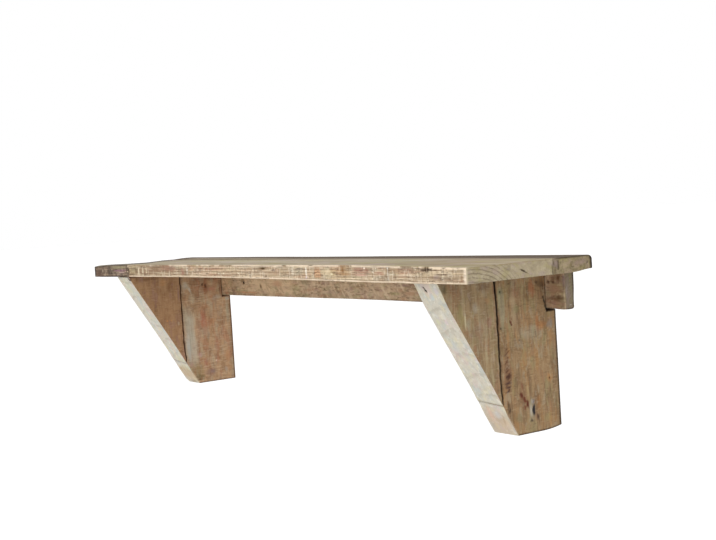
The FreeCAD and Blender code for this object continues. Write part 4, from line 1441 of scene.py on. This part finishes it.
@dataclass
class BackPlank(Plank):
    """The narrow plank of the top, against the wall."""

    joint_side: Side = Side.FRONT
    thickness: float = 19.5  # mm at the right end
    swell: float = 0.7  # mm that the left half is thicker
    rub: float = 0.5  # mm that the front of the left end is thinner
    lift: float = 2.5  # mm that the underside rises by the wall, at the right end
    back_radius: float = 7.0  # mm, of the arris along the top of the wall side
    band: float = 63.0  # mm of the top by the wall that is painted darker, at the right end

    def bend(self, points: Array) -> Array:
        """Rounds the wall side and brings the plank to its worn thickness, thinner at the right end.

        Args:
            points: places on the board, in millimetres.

        Returns:
            The points, moved.
        """
        back, top = Wall((0.0, 1.0, 0.0), tuple(self.high)), Wall((0.0, 0.0, 1.0), tuple(self.high))
        bent = round_over(points, [back, top], np.full(len(points), self.back_radius))
        share = (bent[:, 2] - self.low[2]) / (self.high[2] - self.low[2])
        lift = self.lift * ramp(bent[:, 1], -34.0, 0.0) * ramp(bent[:, 0], 440.0, 500.0)
        rubbed = ramp(bent[:, 0], self.low[0] + 90.0, self.low[0] + 10.0) * ramp(bent[:, 1], -20.0, -46.0)
        swollen = ramp(bent[:, 0], -40.0, -260.0) * (1.0 - rubbed)
        thickness = self.thickness + self.swell * swollen - self.rub * rubbed
        bent[:, 2] = self.low[2] + lift + share * (thickness - lift)
        return bent

    def grime_and_shade(self, points: Array) -> Array:
        """Painted shade along the wall side, dirt in the planks' joint, and a darker band along the top by
        the wall and at the left end.

        Args:
            points: places on the board, in millimetres.

        Returns:
            A share for each point, from 0 to 1.
        """
        joint = self.joint_dirt(points)
        front = self.high[1] - self.band * (0.75 + 0.25 * points[:, 0] / self.high[0])
        above = ramp(points[:, 2], self.high[2] - 2.6, self.high[2] - 1.0)
        top = ramp(points[:, 1], front - 8.0, front + 10.0)
        top = 0.84 * np.maximum(top, ramp(points[:, 0], self.low[0] + 80.0, self.low[0] + 24.0)) * above
        # painted shade on the wall side and on the rounded arris above it
        wall = ramp(points[:, 1], self.high[1] - 6.0, self.high[1] - 2.2)
        return np.maximum.reduce([super().grime_and_shade(points), joint, top, wall])


@dataclass
class BracketTimber(Timber):
    """What both boards of a bracket share: the diagonal and the joint between them."""

    nose: tuple[float, float] = field(init=False)  # y and z where the diagonal meets the top
    heel: tuple[float, float] = field(init=False)  # where it crosses the joint
    toe: tuple[float, float] = field(init=False)  # where it meets the foot
    drift: float = 0.0  # mm that the joint runs forward at its top
    lean: float = 0.0  # mm that it runs back at its foot, where it also slides down the diagonal
    gap_top: float = 1.1
    gap_below: float = 0.6

    def __post_init__(self) -> None:
        """Reads the diagonal's ends from the two boards' solids."""
        super().__post_init__()
        side = self.node.split("_")[0]
        front = [np.array(corner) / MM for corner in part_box(f"{side}_bracket_front_board")]
        back = [np.array(corner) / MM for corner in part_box(f"{side}_bracket_back_board")]
        self.nose = (front[0][1], front[1][2])
        self.heel = (front[1][1], front[0][2])
        slope = (self.heel[1] - self.nose[1]) / (self.heel[0] - self.nose[0])
        self.toe = (self.heel[0] + (back[0][2] - self.heel[1]) / slope, back[0][2])

    def diagonal(self) -> Wall:
        """The plane of the diagonal cut.

        Returns:
            The wall, looking forward and down.
        """
        run = np.array([0.0, self.toe[0] - self.nose[0], self.toe[1] - self.nose[1]])
        run /= np.linalg.norm(run)
        return Wall((0.0, run[2], -run[1]), (0.0, *self.nose))

    def open_joint(self, points: Array, towards: float) -> Array:
        """Draws the joint's edge back from its neighbour, along a wandering line.

        Args:
            points: places on the board.
            towards: -1 for the board in front of the joint, 1 for the one behind it.

        Returns:
            The points, moved in Y.
        """
        height = points * (0.0, 0.0, 1.0)
        top = np.exp((points[:, 2] - self.nose[1]) / 26.0)
        line = 0.8 * noise(height, (1, 1, 44), 21) + 0.35 * noise(height, (1, 1, 7), 22)
        line += 0.28 * noise(height, (1, 1, 3), 23) - self.drift * top
        half = self.gap_below + (self.gap_top - self.gap_below) * top
        half = half * (1.0 + 0.6 * noise(points, (30, 30, 7), self.seed + 6))
        half = half * (0.1 + 0.9 * ramp(self.behind(points, Side.FRONT), 0.4, 2.4))
        near = ramp(np.abs(points[:, 1] - self.heel[0]), 14.0, 0.0)
        askew = 1.0 - 1.1 * self.behind(points, Side.RIGHT) / (self.high[0] - self.low[0])
        slide = near * self.lean * askew * ramp(points[:, 2], self.heel[1] + 34.0, self.heel[1])
        moved = points.copy()
        moved[:, 1] += near * (line + towards * half) + slide
        moved[:, 2] += slide * (self.toe[1] - self.nose[1]) / (self.toe[0] - self.nose[0])
        return moved

    def behind(self, points: Array, side: Side) -> Array:
        """How far each point lies behind a face, the diagonal being the front.

        Args:
            points: places on the board, in millimetres.
            side: the face.

        Returns:
            Millimetres, one value for each point.
        """
        if side is Side.FRONT:
            return depths(points, [self.diagonal()])[:, 0]
        return super().behind(points, side)

    def grime_and_shade(self, points: Array) -> Array:
        """Dirt in the joint, and painted shade under the top, along the foot and by the wall.

        Args:
            points: places on the board, in millimetres.

        Returns:
            A share for each point, from 0 to 1.
        """
        cheek = np.minimum(self.behind(points, Side.LEFT), self.behind(points, Side.RIGHT))
        reach = 1.5 + 1.3 * noise(points, (30, 30, 5), self.seed + 8)
        joint = ramp(np.abs(points[:, 1] - self.heel[0]), reach, 0.3 * reach)
        joint = joint * (0.6 + 0.4 * ramp(cheek, 0.0, 1.6))
        cut = self.behind(points, Side.FRONT) < 1.0
        # painted shade: darker along the foot, under the top and towards the wall
        foot = 0.8 * ramp(points[:, 2], self.low[2] + 2.6, self.low[2] + 1.0)
        top = 0.7 * ramp(points[:, 2], self.high[2] - 4.0, self.high[2] - 0.5)
        wall = np.maximum(0.85 * ramp(points[:, 1], -4.6, -1.8), 0.15 * ramp(points[:, 1], -13.0, -4.0))
        # the joint's dirt together with the painted shade
        dirt = np.maximum.reduce([joint, foot, top, wall])
        return np.maximum(super().grime_and_shade(points), np.where(cut, 0.25 * joint, dirt))

    def radii(self, points: Array) -> Array:
        """Leaves the joint's arrises sharp where the diagonal was cut through them.

        Args:
            points: places on the board, in millimetres.

        Returns:
            Millimetres, one value for each point.
        """
        joint = ramp(np.abs(points[:, 1] - self.heel[0]), 5.0, 3.0)
        cut = ramp(self.behind(points, Side.FRONT), 4.0, 2.0)
        return super().radii(points) * (1.0 - 0.85 * joint * cut)


@dataclass
class BracketFront(BracketTimber):
    """The three-cornered board under the front of the shelf."""

    spread: float = 0.62  # how far down the diagonal the block's fourth corner lies
    setback: tuple[float, float] = (0.0, 0.0)  # mm that the nose is cut back, and z where that ends

    def fold(self, points: Array) -> Array:
        """Lays the block's side on the three-cornered outline, one corner on the diagonal.

        Args:
            points: places on the board, in millimetres.

        Returns:
            The points, moved.
        """
        across = (self.high[1] - points[:, 1]) / (self.high[1] - self.low[1])
        down = (self.high[2] - points[:, 2]) / (self.high[2] - self.low[2])
        nose, heel = np.array(self.nose), np.array(self.heel)
        root = np.array([heel[0], nose[1]])
        fourth = nose + (heel - nose) * self.spread
        shares = ((1 - across) * (1 - down), across * (1 - down), across * down, (1 - across) * down)
        place = sum(share[:, None] * corner for share, corner in zip(shares, (root, nose, fourth, heel)))
        return np.column_stack([points[:, 0], place])

    def walls(self) -> list[Wall]:
        """The box's walls, with the diagonal in place of its front and bottom."""
        kept = [wall for wall in super().walls() if wall.normal[1] >= 0 and wall.normal[2] >= 0]
        return [*kept, self.diagonal()]

    def bend(self, points: Array) -> Array:
        """Opens the joint and cuts the nose back.

        Args:
            points: places on the board, in millimetres.

        Returns:
            The points, moved.
        """
        bent = self.open_joint(points, -1.0)
        nose = ramp(points[:, 2], self.setback[1], self.nose[1])
        bent[:, 1] += self.setback[0] * nose * ramp(self.behind(points, Side.FRONT), 30.0, 0.0)
        return bent


@dataclass
class BracketBack(BracketTimber):
    """The notched board against the wall."""

    notch: tuple[float, float] = (-16.5, -26.5)  # y and z of the notch's inner corner
    straight_above: float = -60.0  # z above which the block isn't slanted
    toe_radius: float = 1.0  # mm, of the left corner at the toe
    proud: float = 0.0  # mm that its cut stands out in front of the other board's
    shim: float = 2.4  # mm that the notch's ledge rises inside, where the batten beds on it
    bed: tuple[float, float] = (0.0, 1.0)  # mm that its edge rises, at the notch's corner and by the wall
    foot_rise: float = 0.0  # mm that the foot is cut back by the wall
    foot_run: float = 32.0  # mm from the wall over which it is

    def cuts(self) -> tuple[Array, Array, Array]:
        """Stations that also run through the notch and the toe.

        Returns:
            The stations along X, Y and Z.
        """
        across = stations((self.low[1], self.toe[0], self.notch[0], self.high[1]), self.pitch[1])
        down = stations((self.low[2], self.straight_above, self.notch[1], self.high[2]), self.pitch[2])
        return stations((self.low[0], self.high[0]), self.pitch[0]), across, down

    def filled(self, cuts: tuple[Array, Array, Array]) -> Array:
        """All cells but the notch.

        Args:
            cuts: the stations along X, Y and Z.

        Returns:
            For each cell between the stations, whether there is wood in it.
        """
        middles = [(line[1:] + line[:-1]) / 2 for line in cuts]
        notch = (middles[1][:, None] > self.notch[0]) & (middles[2][None, :] > self.notch[1])
        return np.broadcast_to(~notch, [len(line) for line in middles]).copy()

    def fold(self, points: Array) -> Array:
        """Slants the bottom of the block in front of the toe up to the diagonal.

        Args:
            points: places on the board, in millimetres.

        Returns:
            The points, moved.
        """
        share = np.clip((self.toe[0] - points[:, 1]) / (self.toe[0] - self.heel[0]), 0.0, 1.0)
        foot = self.toe[1] + share * (self.heel[1] - self.toe[1])
        scale = (self.straight_above - foot) / (self.straight_above - self.low[2])
        below = np.minimum(points[:, 2] - self.straight_above, 0.0)
        folded = points.copy()
        folded[:, 2] += below * (scale - 1.0)
        return folded

    def walls(self) -> list[Wall]:
        """The box's walls and the diagonal."""
        return [*super().walls(), self.diagonal()]

    def bend(self, points: Array) -> Array:
        """Opens the joint, wears the toe's corner and beds the batten.

        Args:
            points: places on the board, in millimetres.

        Returns:
            The points, moved.
        """
        corner = [Wall((-1.0, 0.0, 0.0), tuple(self.low)), Wall((0.0, 0.0, -1.0), tuple(self.low))]
        radius = self.toe_radius * ramp(points[:, 1], self.toe[0] + 30.0, self.toe[0] - 4.0)
        bent = self.open_joint(round_over(points, corner, radius), 1.0)
        below = ramp(points[:, 2], self.heel[1], self.heel[1] - 18.0)
        bent[:, 1] -= self.proud * below * ramp(self.behind(points, Side.FRONT), 14.0, 0.0)
        by_wall = np.clip(1.0 - self.behind(points, Side.BACK) / self.foot_run, 0.0, 1.0) ** 2
        reach = self.straight_above - self.low[2]
        near_foot = np.clip((self.straight_above - points[:, 2]) / reach, 0.0, 1.0)
        bent[:, 2] += self.foot_rise * by_wall * near_foot
        inside = np.minimum(self.behind(points, Side.LEFT), self.behind(points, Side.RIGHT))
        ledge = (np.abs(points[:, 2] - self.notch[1]) < 0.01) & (points[:, 1] > self.notch[0] + 0.01)
        edge = np.interp(points[:, 1], (self.notch[0], self.high[1]), self.bed)
        inner = ramp(inside, 1.5, 3.5)
        bent[:, 2] += ledge * (edge * (1.0 - inner) + max(self.shim, *self.bed) * inner)
        return bent

    def grime_and_shade(self, points: Array) -> Array:
        """Adds painted shade in the notch: on its ledge and along its front wall.

        Args:
            points: places on the board, in millimetres.

        Returns:
            A share for each point, from 0 to 1.
        """
        # painted shade in the notch's recess, where the batten's gap lies in shadow
        ledge = ramp(np.abs(points[:, 2] - self.notch[1]), 1.3, 0.4) * (points[:, 1] > self.notch[0] - 1.0)
        cheek = ramp(np.abs(points[:, 1] - self.notch[0]), 1.4, 0.5) * (points[:, 2] > self.notch[1] - 1.0)
        return np.maximum.reduce([super().grime_and_shade(points), 0.95 * ledge, 0.7 * cheek])


@dataclass
class WallBatten(Timber):
    """The sawn batten that the wall screws go through."""

    holes: tuple[tuple[float, float], ...] = ((-300.0, 0.0), (300.0, 0.0))
    hole_radius: float = 3.0
    pockets: tuple[tuple[float, float], ...] = ()
    pocket_radius: float = 4.1
    pocket_depth: float = 2.4
    wane: float = 2.0  # mm of bark edge missing below
    wane_at: float = 70.0  # mm along the shelf
    wane_reach: float = 260.0
    sag: float = 0.8  # mm that the right end is deeper
    sag_over: tuple[float, float] = (436.0, 462.0)  # mm, x between which it gets deeper
    rough_until: float = 400.0  # mm, x up to which the saw's ridges are whole
    smooth_from: float = 440.0  # mm, x past which they are worn off
    askew: float = 0.4  # mm that the right end is cut back at its front
    end_radius: float = 3.2  # mm, of the right end's front and lower back arrises

    def rooms(self) -> list[tuple[tuple[float, float], float]]:
        """The place and radius of each hole and pocket."""
        holes = [(hole, self.hole_radius) for hole in self.holes]
        return holes + [(pocket, self.pocket_radius) for pocket in self.pockets]

    def cuts(self) -> tuple[Array, Array, Array]:
        """Stations that also run round every hole and pocket.

        Returns:
            The stations along X, Y and Z.
        """
        lines = []
        for axis, side in ((0, 0), (2, 1)):
            rims = {spot[side] + sign * radius for spot, radius in self.rooms() for sign in (-1, 1)}
            inner = {round(rim, 3) for rim in rims}
            ends = (self.low[axis], *sorted(inner), self.high[axis])
            lines.append(stations(ends, self.pitch[axis]))
        depth = stations((self.low[1], self.high[1] - self.pocket_depth, self.high[1]), self.pitch[1])
        return lines[0], depth, lines[1]

    def filled(self, cuts: tuple[Array, Array, Array]) -> Array:
        """All cells but the holes and the pockets.

        Args:
            cuts: the stations along X, Y and Z.

        Returns:
            For each cell between the stations, whether there is wood in it.
        """
        x, y, z = np.meshgrid(*[(line[1:] + line[:-1]) / 2 for line in cuts], indexing="ij")
        wood = np.ones(x.shape, dtype=bool)
        for spot in self.holes:
            wood &= np.maximum(abs(x - spot[0]), abs(z - spot[1])) > self.hole_radius
        for spot in self.pockets:
            inside = np.maximum(abs(x - spot[0]), abs(z - spot[1])) < self.pocket_radius
            wood &= ~(inside & (y > self.high[1] - self.pocket_depth))
        return wood

    def fold(self, points: Array) -> Array:
        """Turns the square holes round.

        Args:
            points: places on the board, in millimetres.

        Returns:
            The points, moved.
        """
        folded = points.copy()
        for spot, radius in self.rooms():
            away = folded[:, [0, 2]] - spot
            square = np.abs(away).max(axis=1)
            circle = np.maximum(np.linalg.norm(away, axis=1), 1e-9)
            near = ramp(square, radius * 2.2, radius)
            folded[:, [0, 2]] = spot + away * (1.0 + near * (square / circle - 1.0))[:, None]
        return folded

    def radii(self, points: Array) -> Array:
        """Wears the right end's front arris, and rounds its lower back corner.

        Args:
            points: places on the board, in millimetres.

        Returns:
            Millimetres, one value for each point.
        """
        end = ramp(points[:, 0], self.high[0] - 6.0, self.high[0] - 3.0)
        front = ramp(points[:, 1], self.low[1] + 6.0, self.low[1] + 4.0)
        back = ramp(points[:, 1], self.high[1] - 6.0, self.high[1] - 4.0) * ramp(points[:, 2], 4.0, -14.0)
        plain = super().radii(points)
        return plain + (self.end_radius - plain) * end * np.maximum(front, back)

    def rough(self, points: Array) -> Array:
        """How much of the saw's ridges and furrows is left: none on the right end's stub."""
        return ramp(points[:, 0], self.smooth_from, self.rough_until)

    def slanted(self, points: Array, size: Sequence[float], seed: int) -> Array:
        """Uneven lines that lean to the left, as the saw's teeth left them."""
        return noise(points + points[:, [2, 1, 0]] * (0.7, 0.0, 0.0), size, self.seed + seed)

    def wear_and_highlight(self, points: Array) -> Array:
        """How far the right end's front arris and the slanting ridges are worn to clean wood.

        Args:
            points: places on the board, in millimetres.

        Returns:
            A share for each point, from 0 to 1.
        """
        end = ramp(points[:, 0], self.high[0] - 4.0, self.high[0] - 2.4)
        front = ramp(points[:, 1], self.low[1] + 3.0, self.low[1] + 2.0)
        ridges = ramp(self.slanted(points, (6, 30, 14), 4), 0.15, 0.55) * ramp(points[:, 0], -150.0, 60.0)
        ridges = ridges * self.rough(points)
        return np.maximum(0.24 * end * front * ramp(points[:, 2], 6.0, 0.0), 0.6 * ridges)

    def bend(self, points: Array) -> Array:
        """Takes off the wane below, along the middle, and trims the right end askew.

        Args:
            points: places on the board, in millimetres.

        Returns:
            The points, moved.
        """
        wane = np.exp(-(((points[:, 0] - self.wane_at) / self.wane_reach) ** 2))
        low = ramp(points[:, 2], 0.0, self.low[2])
        front = ramp(points[:, 1], self.high[1], self.low[1])
        bent = points.copy()
        bent[:, 2] += (self.wane * wane - self.sag * ramp(points[:, 0], *self.sag_over)) * low
        bent[:, 0] -= self.askew * front * ramp(points[:, 0], self.high[0] - 12.0, self.high[0])
        return bent

    def grime_and_shade(self, points: Array) -> Array:
        """Adds painted shade along the lower arris and on the right end by the wall and below, and dark
        flecks in the saw's furrows.

        Args:
            points: places on the board, in millimetres.

        Returns:
            A share for each point, from 0 to 1.
        """
        # painted shade on the lower arris and the right end, which turn away from the light
        low = 0.7 * self.arris(points, 2.8) * ramp(points[:, 2], self.low[2] + 3.0, self.low[2] + 1.0)
        low = low * (0.3 + 0.5 * ramp(points[:, 0], -100.0, 150.0))
        right = points[:, 0] > self.high[0] - 0.8
        below = ramp(points[:, 2], self.low[2] + 3.0, self.low[2] + 1.0)
        end = 0.8 * right * np.maximum(ramp(points[:, 1], -4.4, -1.8), below)
        furrows = 0.2 * ramp(self.slanted(points, (5, 30, 12), 5), 0.1, 0.6)
        furrows = furrows * self.rough(points)
        return np.maximum.reduce([super().grime_and_shade(points), low, end, furrows])

    def relief(self, points: Array, normals: Array) -> Array:
        """Adds slanting blade marks to the faces.

        Args:
            points: places on the board, in millimetres.
            normals: the outward direction at each of them.

        Returns:
            Millimetres, one value for each point.
        """
        plain = super().relief(points, normals)
        sawn = plain + 0.18 * (1.0 + self.slanted(points, (3.4, 30, 24), 3))
        return sawn * (1.0 - 0.8 * np.clip(normals[:, 0], 0.0, 1.0))


# ------------------------------------------------------------------------------------ sub-assemblies


@dataclass
class ShelfTop:
    """The two planks of the top, dowelled edge to edge."""

    def build(self) -> list[bpy.types.Object]:
        """Makes both planks.

        Returns:
            The pieces.
        """
        front = FrontPlank(
            "top_front_board",
            "top_front_timber",
            Grain.LEVEL,
            heart=(-188.0, -30.0),
            seed=1,
            face=PLANED_PINE,
            coats={
                Side.FRONT: SAWN_PINE,
                Side.RIGHT: PINE_END_GRAIN,
                Side.LEFT: PINE_END_GRAIN,
                Side.UNDER: GREENISH_WEATHERED_PINE,
            },
            marks={
                Side.FRONT: FRONT_EDGE_MARKS,
                Side.TOP: FRONT_TOP_MARKS,
                Side.RIGHT: FRONT_PLANK_END_MARKS,
            },
            pitch=(1.55, 5.0, 0.8),
            radius=1.2,
        )
        back = BackPlank(
            "top_back_board",
            "top_back_timber",
            Grain.LEVEL,
            heart=(-40.0, -30.0),
            seed=2,
            face=BROWN_PLANED_PINE,
            coats={
                Side.RIGHT: BROWN_PINE_END_GRAIN,
                Side.LEFT: BROWN_PINE_END_GRAIN,
                Side.UNDER: GREENISH_WEATHERED_PINE,
            },
            marks={Side.RIGHT: BACK_PLANK_END_MARKS},
            pitch=(2.0, 3.0, 1.8),
        )
        return [front.build(), back.build()]


@dataclass
class Bracket:
    """One bracket: two upright boards on a common diagonal."""

    side: str
    front_face: TimberFinish
    back_face: TimberFinish
    front_marks: dict[Side, tuple[Mark, ...]]
    back_marks: dict[Side, tuple[Mark, ...]]
    seed: int
    drift: float  # mm that the joint runs forward at its top
    lean: float  # mm that it runs back at its foot
    setback: tuple[float, float]  # mm that the nose is cut back, and z where that ends
    proud: float  # mm that the foot of the cut stands out
    heart: float  # mm along the shelf, where the tree's heart lay
    toe_radius: float  # mm, of the left corner at the toe
    bed: tuple[float, float]  # mm that the notch's edge rises, at its corner and by the wall
    gap_top: float  # mm, half the joint's gap at its top
    foot_rise: float = 0.0  # mm that the foot is cut back by the wall

    def build(self) -> list[bpy.types.Object]:
        """Makes both boards.

        Returns:
            The pieces.
        """
        shared = {
            "grain": Grain.UPRIGHT,
            "heart": (-36.0, self.heart),
            "pitch": (2.0, 1.3, 1.3),
            "drift": self.drift,
            "lean": self.lean,
            "gap_top": self.gap_top,
        }
        front = BracketFront(
            f"{self.side}_bracket_front_board",
            "bracket_front_timber",
            seed=self.seed,
            face=self.front_face,
            coats={Side.FRONT: FRESH_CUT_PINE, Side.UNDER: FRESH_CUT_PINE},
            marks=self.front_marks,
            radius=0.8,
            setback=self.setback,
            **shared,
        )
        back = BracketBack(
            f"{self.side}_bracket_back_board",
            "bracket_back_timber",
            seed=self.seed + 1,
            face=self.back_face,
            coats={Side.UNDER: FRESH_CUT_PINE},
            marks=self.back_marks,
            toe_radius=self.toe_radius,
            proud=self.proud,
            bed=self.bed,
            foot_rise=self.foot_rise,
            **shared,
        )
        return [front.build(), back.build()]


@dataclass
class WallSide:
    """The batten along the wall."""

    head_radius: float = 4.0  # mm, of the screws' heads

    def build(self) -> list[bpy.types.Object]:
        """Makes the batten with its wall holes and screw pockets.

        Returns:
            The pieces.
        """
        screws = [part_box(f"{side}_notch_screws") for side in ("left", "right")]
        middles = [(low[0] + high[0]) / 2 / MM for low, high in screws]
        drop = (screws[0][1][2] - screws[0][0][2]) / 2 / MM - self.head_radius
        pockets = tuple((middle, sign * drop) for middle in middles for sign in (-1, 1))
        batten = WallBatten(
            "wall_batten",
            "batten_timber",
            Grain.LEVEL,
            heart=(10.0, -20.0),
            seed=9,
            face=ROUGH_SAWN_PINE,
            coats={Side.LEFT: BATTEN_END_GRAIN, Side.RIGHT: BATTEN_END_GRAIN},
            marks={Side.FRONT: BATTEN_MARKS, Side.RIGHT: BATTEN_END_MARKS},
            pitch=(1.9, 3.0, 1.7),
            radius=1.2,
            pockets=pockets,
        )
        return [batten.build()]


@dataclass(frozen=True)
class BeechDowel:
    """Fluted beech dowel: pale pinkish wood with fine short flecks."""

    early: str = "C99F74"
    fleck: str = "A87A50"

    def dress(self) -> bpy.types.Material:
        """Makes the dowels' material.

        Returns:
            The material.
        """
        material, tree = new_tree("beech_dowel")
        place = add_node(tree, "TexCoord").outputs["Object"]
        close = add_node(tree, "VectorMath", {0: place, 1: (700, 250, 700)}, operation="MULTIPLY").outputs[0]
        flecks = add_node(tree, "TexNoise", {"Vector": close, "Scale": 1.0, "Detail": 3.0}).outputs["Fac"]
        level = {"Value": flecks, "From Min": 0.45, "From Max": 0.65}
        cover = add_node(tree, "MapRange", level).outputs[0]
        mixed = {"Factor": cover, MIX_A: linear(self.early), MIX_B: linear(self.fleck)}
        colour = add_node(tree, "Mix", mixed, data_type="RGBA").outputs[MIX_COLOUR]
        bump = add_node(tree, "Bump", {"Height": flecks, "Distance": 0.1 * MM}).outputs[0]
        surface = {"Base Color": colour, "Roughness": 0.6, "Normal": bump, "IOR": 1.5}
        surface = add_node(tree, "BsdfPrincipled", surface).outputs[0]
        add_node(tree, "OutputMaterial", {"Surface": surface})
        return material


@dataclass(frozen=True)
class ZincScrew:
    """Zinc-plated steel: a grey metal with a faint clouded plating."""

    bright: str = "C9CDD0"
    dull: str = "8F9498"

    def dress(self) -> bpy.types.Material:
        """Makes the screws' material.

        Returns:
            The material.
        """
        material, tree = new_tree("zinc_plated_steel")
        place = add_node(tree, "TexCoord").outputs["Object"]
        clouds = add_node(tree, "TexNoise", {"Vector": place, "Scale": 600.0, "Detail": 4.0}).outputs["Fac"]
        level = {"Value": clouds, "From Min": 0.4, "From Max": 0.65}
        cover = add_node(tree, "MapRange", level).outputs[0]
        mixed = {"Factor": cover, MIX_A: linear(self.bright), MIX_B: linear(self.dull)}
        colour = add_node(tree, "Mix", mixed, data_type="RGBA").outputs[MIX_COLOUR]
        rough = add_node(tree, "MapRange", {"Value": clouds, "To Min": 0.25, "To Max": 0.55}).outputs[0]
        surface = {"Base Color": colour, "Roughness": rough, "Metallic": 1.0}
        surface = add_node(tree, "BsdfPrincipled", surface).outputs[0]
        add_node(tree, "OutputMaterial", {"Surface": surface})
        return material


@dataclass
class Joinery:
    """The dowels and screws, which keep their solids and get their own finishes."""

    dowel: BeechDowel = BeechDowel()
    screw: ZincScrew = ZincScrew()

    def build(self) -> list[bpy.types.Object]:
        """Dresses every dowel and screw node.

        Returns:
            The pieces.
        """
        dowel, screw = self.dowel.dress(), self.screw.dress()
        dressed = []
        for name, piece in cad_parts.items():
            if name.endswith(("_dowels", "_screws")):
                finish = screw if name.endswith("_screws") else dowel
                for slot in piece.material_slots:
                    slot.material = finish
                log.info("%s: %s", name, finish.name)
                dressed.append(piece)
        return dressed


# ----------------------------------------------------------------------------------------- studio


@dataclass
class Studio:
    """A pale floor, soft light and the camera."""

    place: tuple[float, float, float] = (1.529, -1.0862, 0.1168)
    target: tuple[float, float, float] = (0.0, 0.0129, 0.0205)
    roll: float = -3.639  # degrees
    lens: float = 61.665  # mm on a 36 mm sensor
    floor_height: float = -1.0
    floor_reach: float = 60.0
    key_from: tuple[float, float, float] = (-0.5, -1.0, 0.9)
    key_spread: float = 50.0  # degrees across
    key_strength: float = 0.9

    def camera(self) -> None:
        """Places the camera and makes it the scene's own."""
        view = bpy.data.cameras.new("camera")
        view.lens = self.lens
        view.sensor_width = 36.0
        view.clip_end = 200.0
        holder = put_in_scene("camera", view)
        ahead = Vector(self.target) - Vector(self.place)
        turn = ahead.to_track_quat("-Z", "Y").to_matrix().to_4x4()
        level = Matrix.Rotation(math.radians(self.roll), 4, "Z")
        holder.matrix_world = Matrix.Translation(self.place) @ turn @ level
        bpy.context.scene.camera = holder

    def key(self) -> None:
        """Adds one wide soft light from the front, the left and above."""
        light = bpy.data.lights.new("key", "SUN")
        light.angle = math.radians(self.key_spread)
        light.energy = self.key_strength
        holder = put_in_scene("key", light)
        holder.rotation_euler = (-Vector(self.key_from)).to_track_quat("-Z", "Y").to_euler()

    def floor(self) -> None:
        """Lays a wide white floor well below the shelf."""
        reach, height = self.floor_reach, self.floor_height
        mesh = bpy.data.meshes.new("floor")
        signs = ((-1, -1), (1, -1), (1, 1), (-1, 1))
        corners = [(x * reach, y * reach, height) for x, y in signs]
        mesh.from_pydata(corners, [], [(0, 1, 2, 3)])
        material, tree = new_tree("matt_white_floor")
        surface = add_node(tree, "BsdfPrincipled", {"Base Color": linear("FAFAFA"), "Roughness": 0.9})
        add_node(tree, "OutputMaterial", {"Surface": surface.outputs[0]})
        mesh.materials.append(material)
        floor = put_in_scene("floor", mesh)

    def build(self) -> None:
        """Sets the floor, the lights, the surroundings and the camera."""
        world = bpy.data.worlds.new("studio")
        world.use_nodes = True
        world.node_tree.nodes["Background"].inputs["Color"].default_value = (1.0, 1.0, 1.0, 1.0)
        world.node_tree.nodes["Background"].inputs["Strength"].default_value = 1.0
        bpy.context.scene.world = world
        bpy.context.scene.view_settings.view_transform = "Standard"
        self.floor()
        self.key()
        self.camera()


def main() -> None:
    """Builds the shelf, then the studio."""
    logging.basicConfig(level=logging.INFO, format="%(message)s")
    parts = [
        ShelfTop(),
        Bracket(
            "left",
            WARM_WEATHERED_PINE,
            PATCHY_WEATHERED_PINE,
            front_marks={Side.RIGHT: LEFT_FRONT_MARKS, Side.FRONT: LEFT_NOSE_MARKS},
            back_marks={Side.RIGHT: LEFT_BACK_MARKS, Side.FRONT: LEFT_FOOT_MARKS},
            seed=3,
            drift=0.5,
            lean=3.2,
            setback=(-2.2, -110.0),
            proud=1.2,
            heart=-386.0,
            toe_radius=7.0,
            bed=(2.1, 2.9),
            gap_top=0.35,
        ),
        Bracket(
            "right",
            GREENISH_WEATHERED_PINE,
            NAILED_WEATHERED_PINE,
            front_marks={Side.RIGHT: RIGHT_FRONT_MARKS, Side.FRONT: RIGHT_NOSE_MARKS},
            back_marks={Side.RIGHT: RIGHT_BACK_MARKS, Side.FRONT: RIGHT_FOOT_MARKS},
            seed=5,
            drift=2.6,
            lean=2.0,
            setback=(3.0, -10.0),
            proud=2.3,
            heart=424.0,
            toe_radius=1.2,
            bed=(0.0, 1.2),
            gap_top=1.3,
            foot_rise=3.0,
        ),
        WallSide(),
        Joinery(),
    ]
    for part in parts:
        log.info("%s: %d pieces", type(part).__name__, len(part.build()))
    Studio().build()


if __name__ == "__main__":
    main()
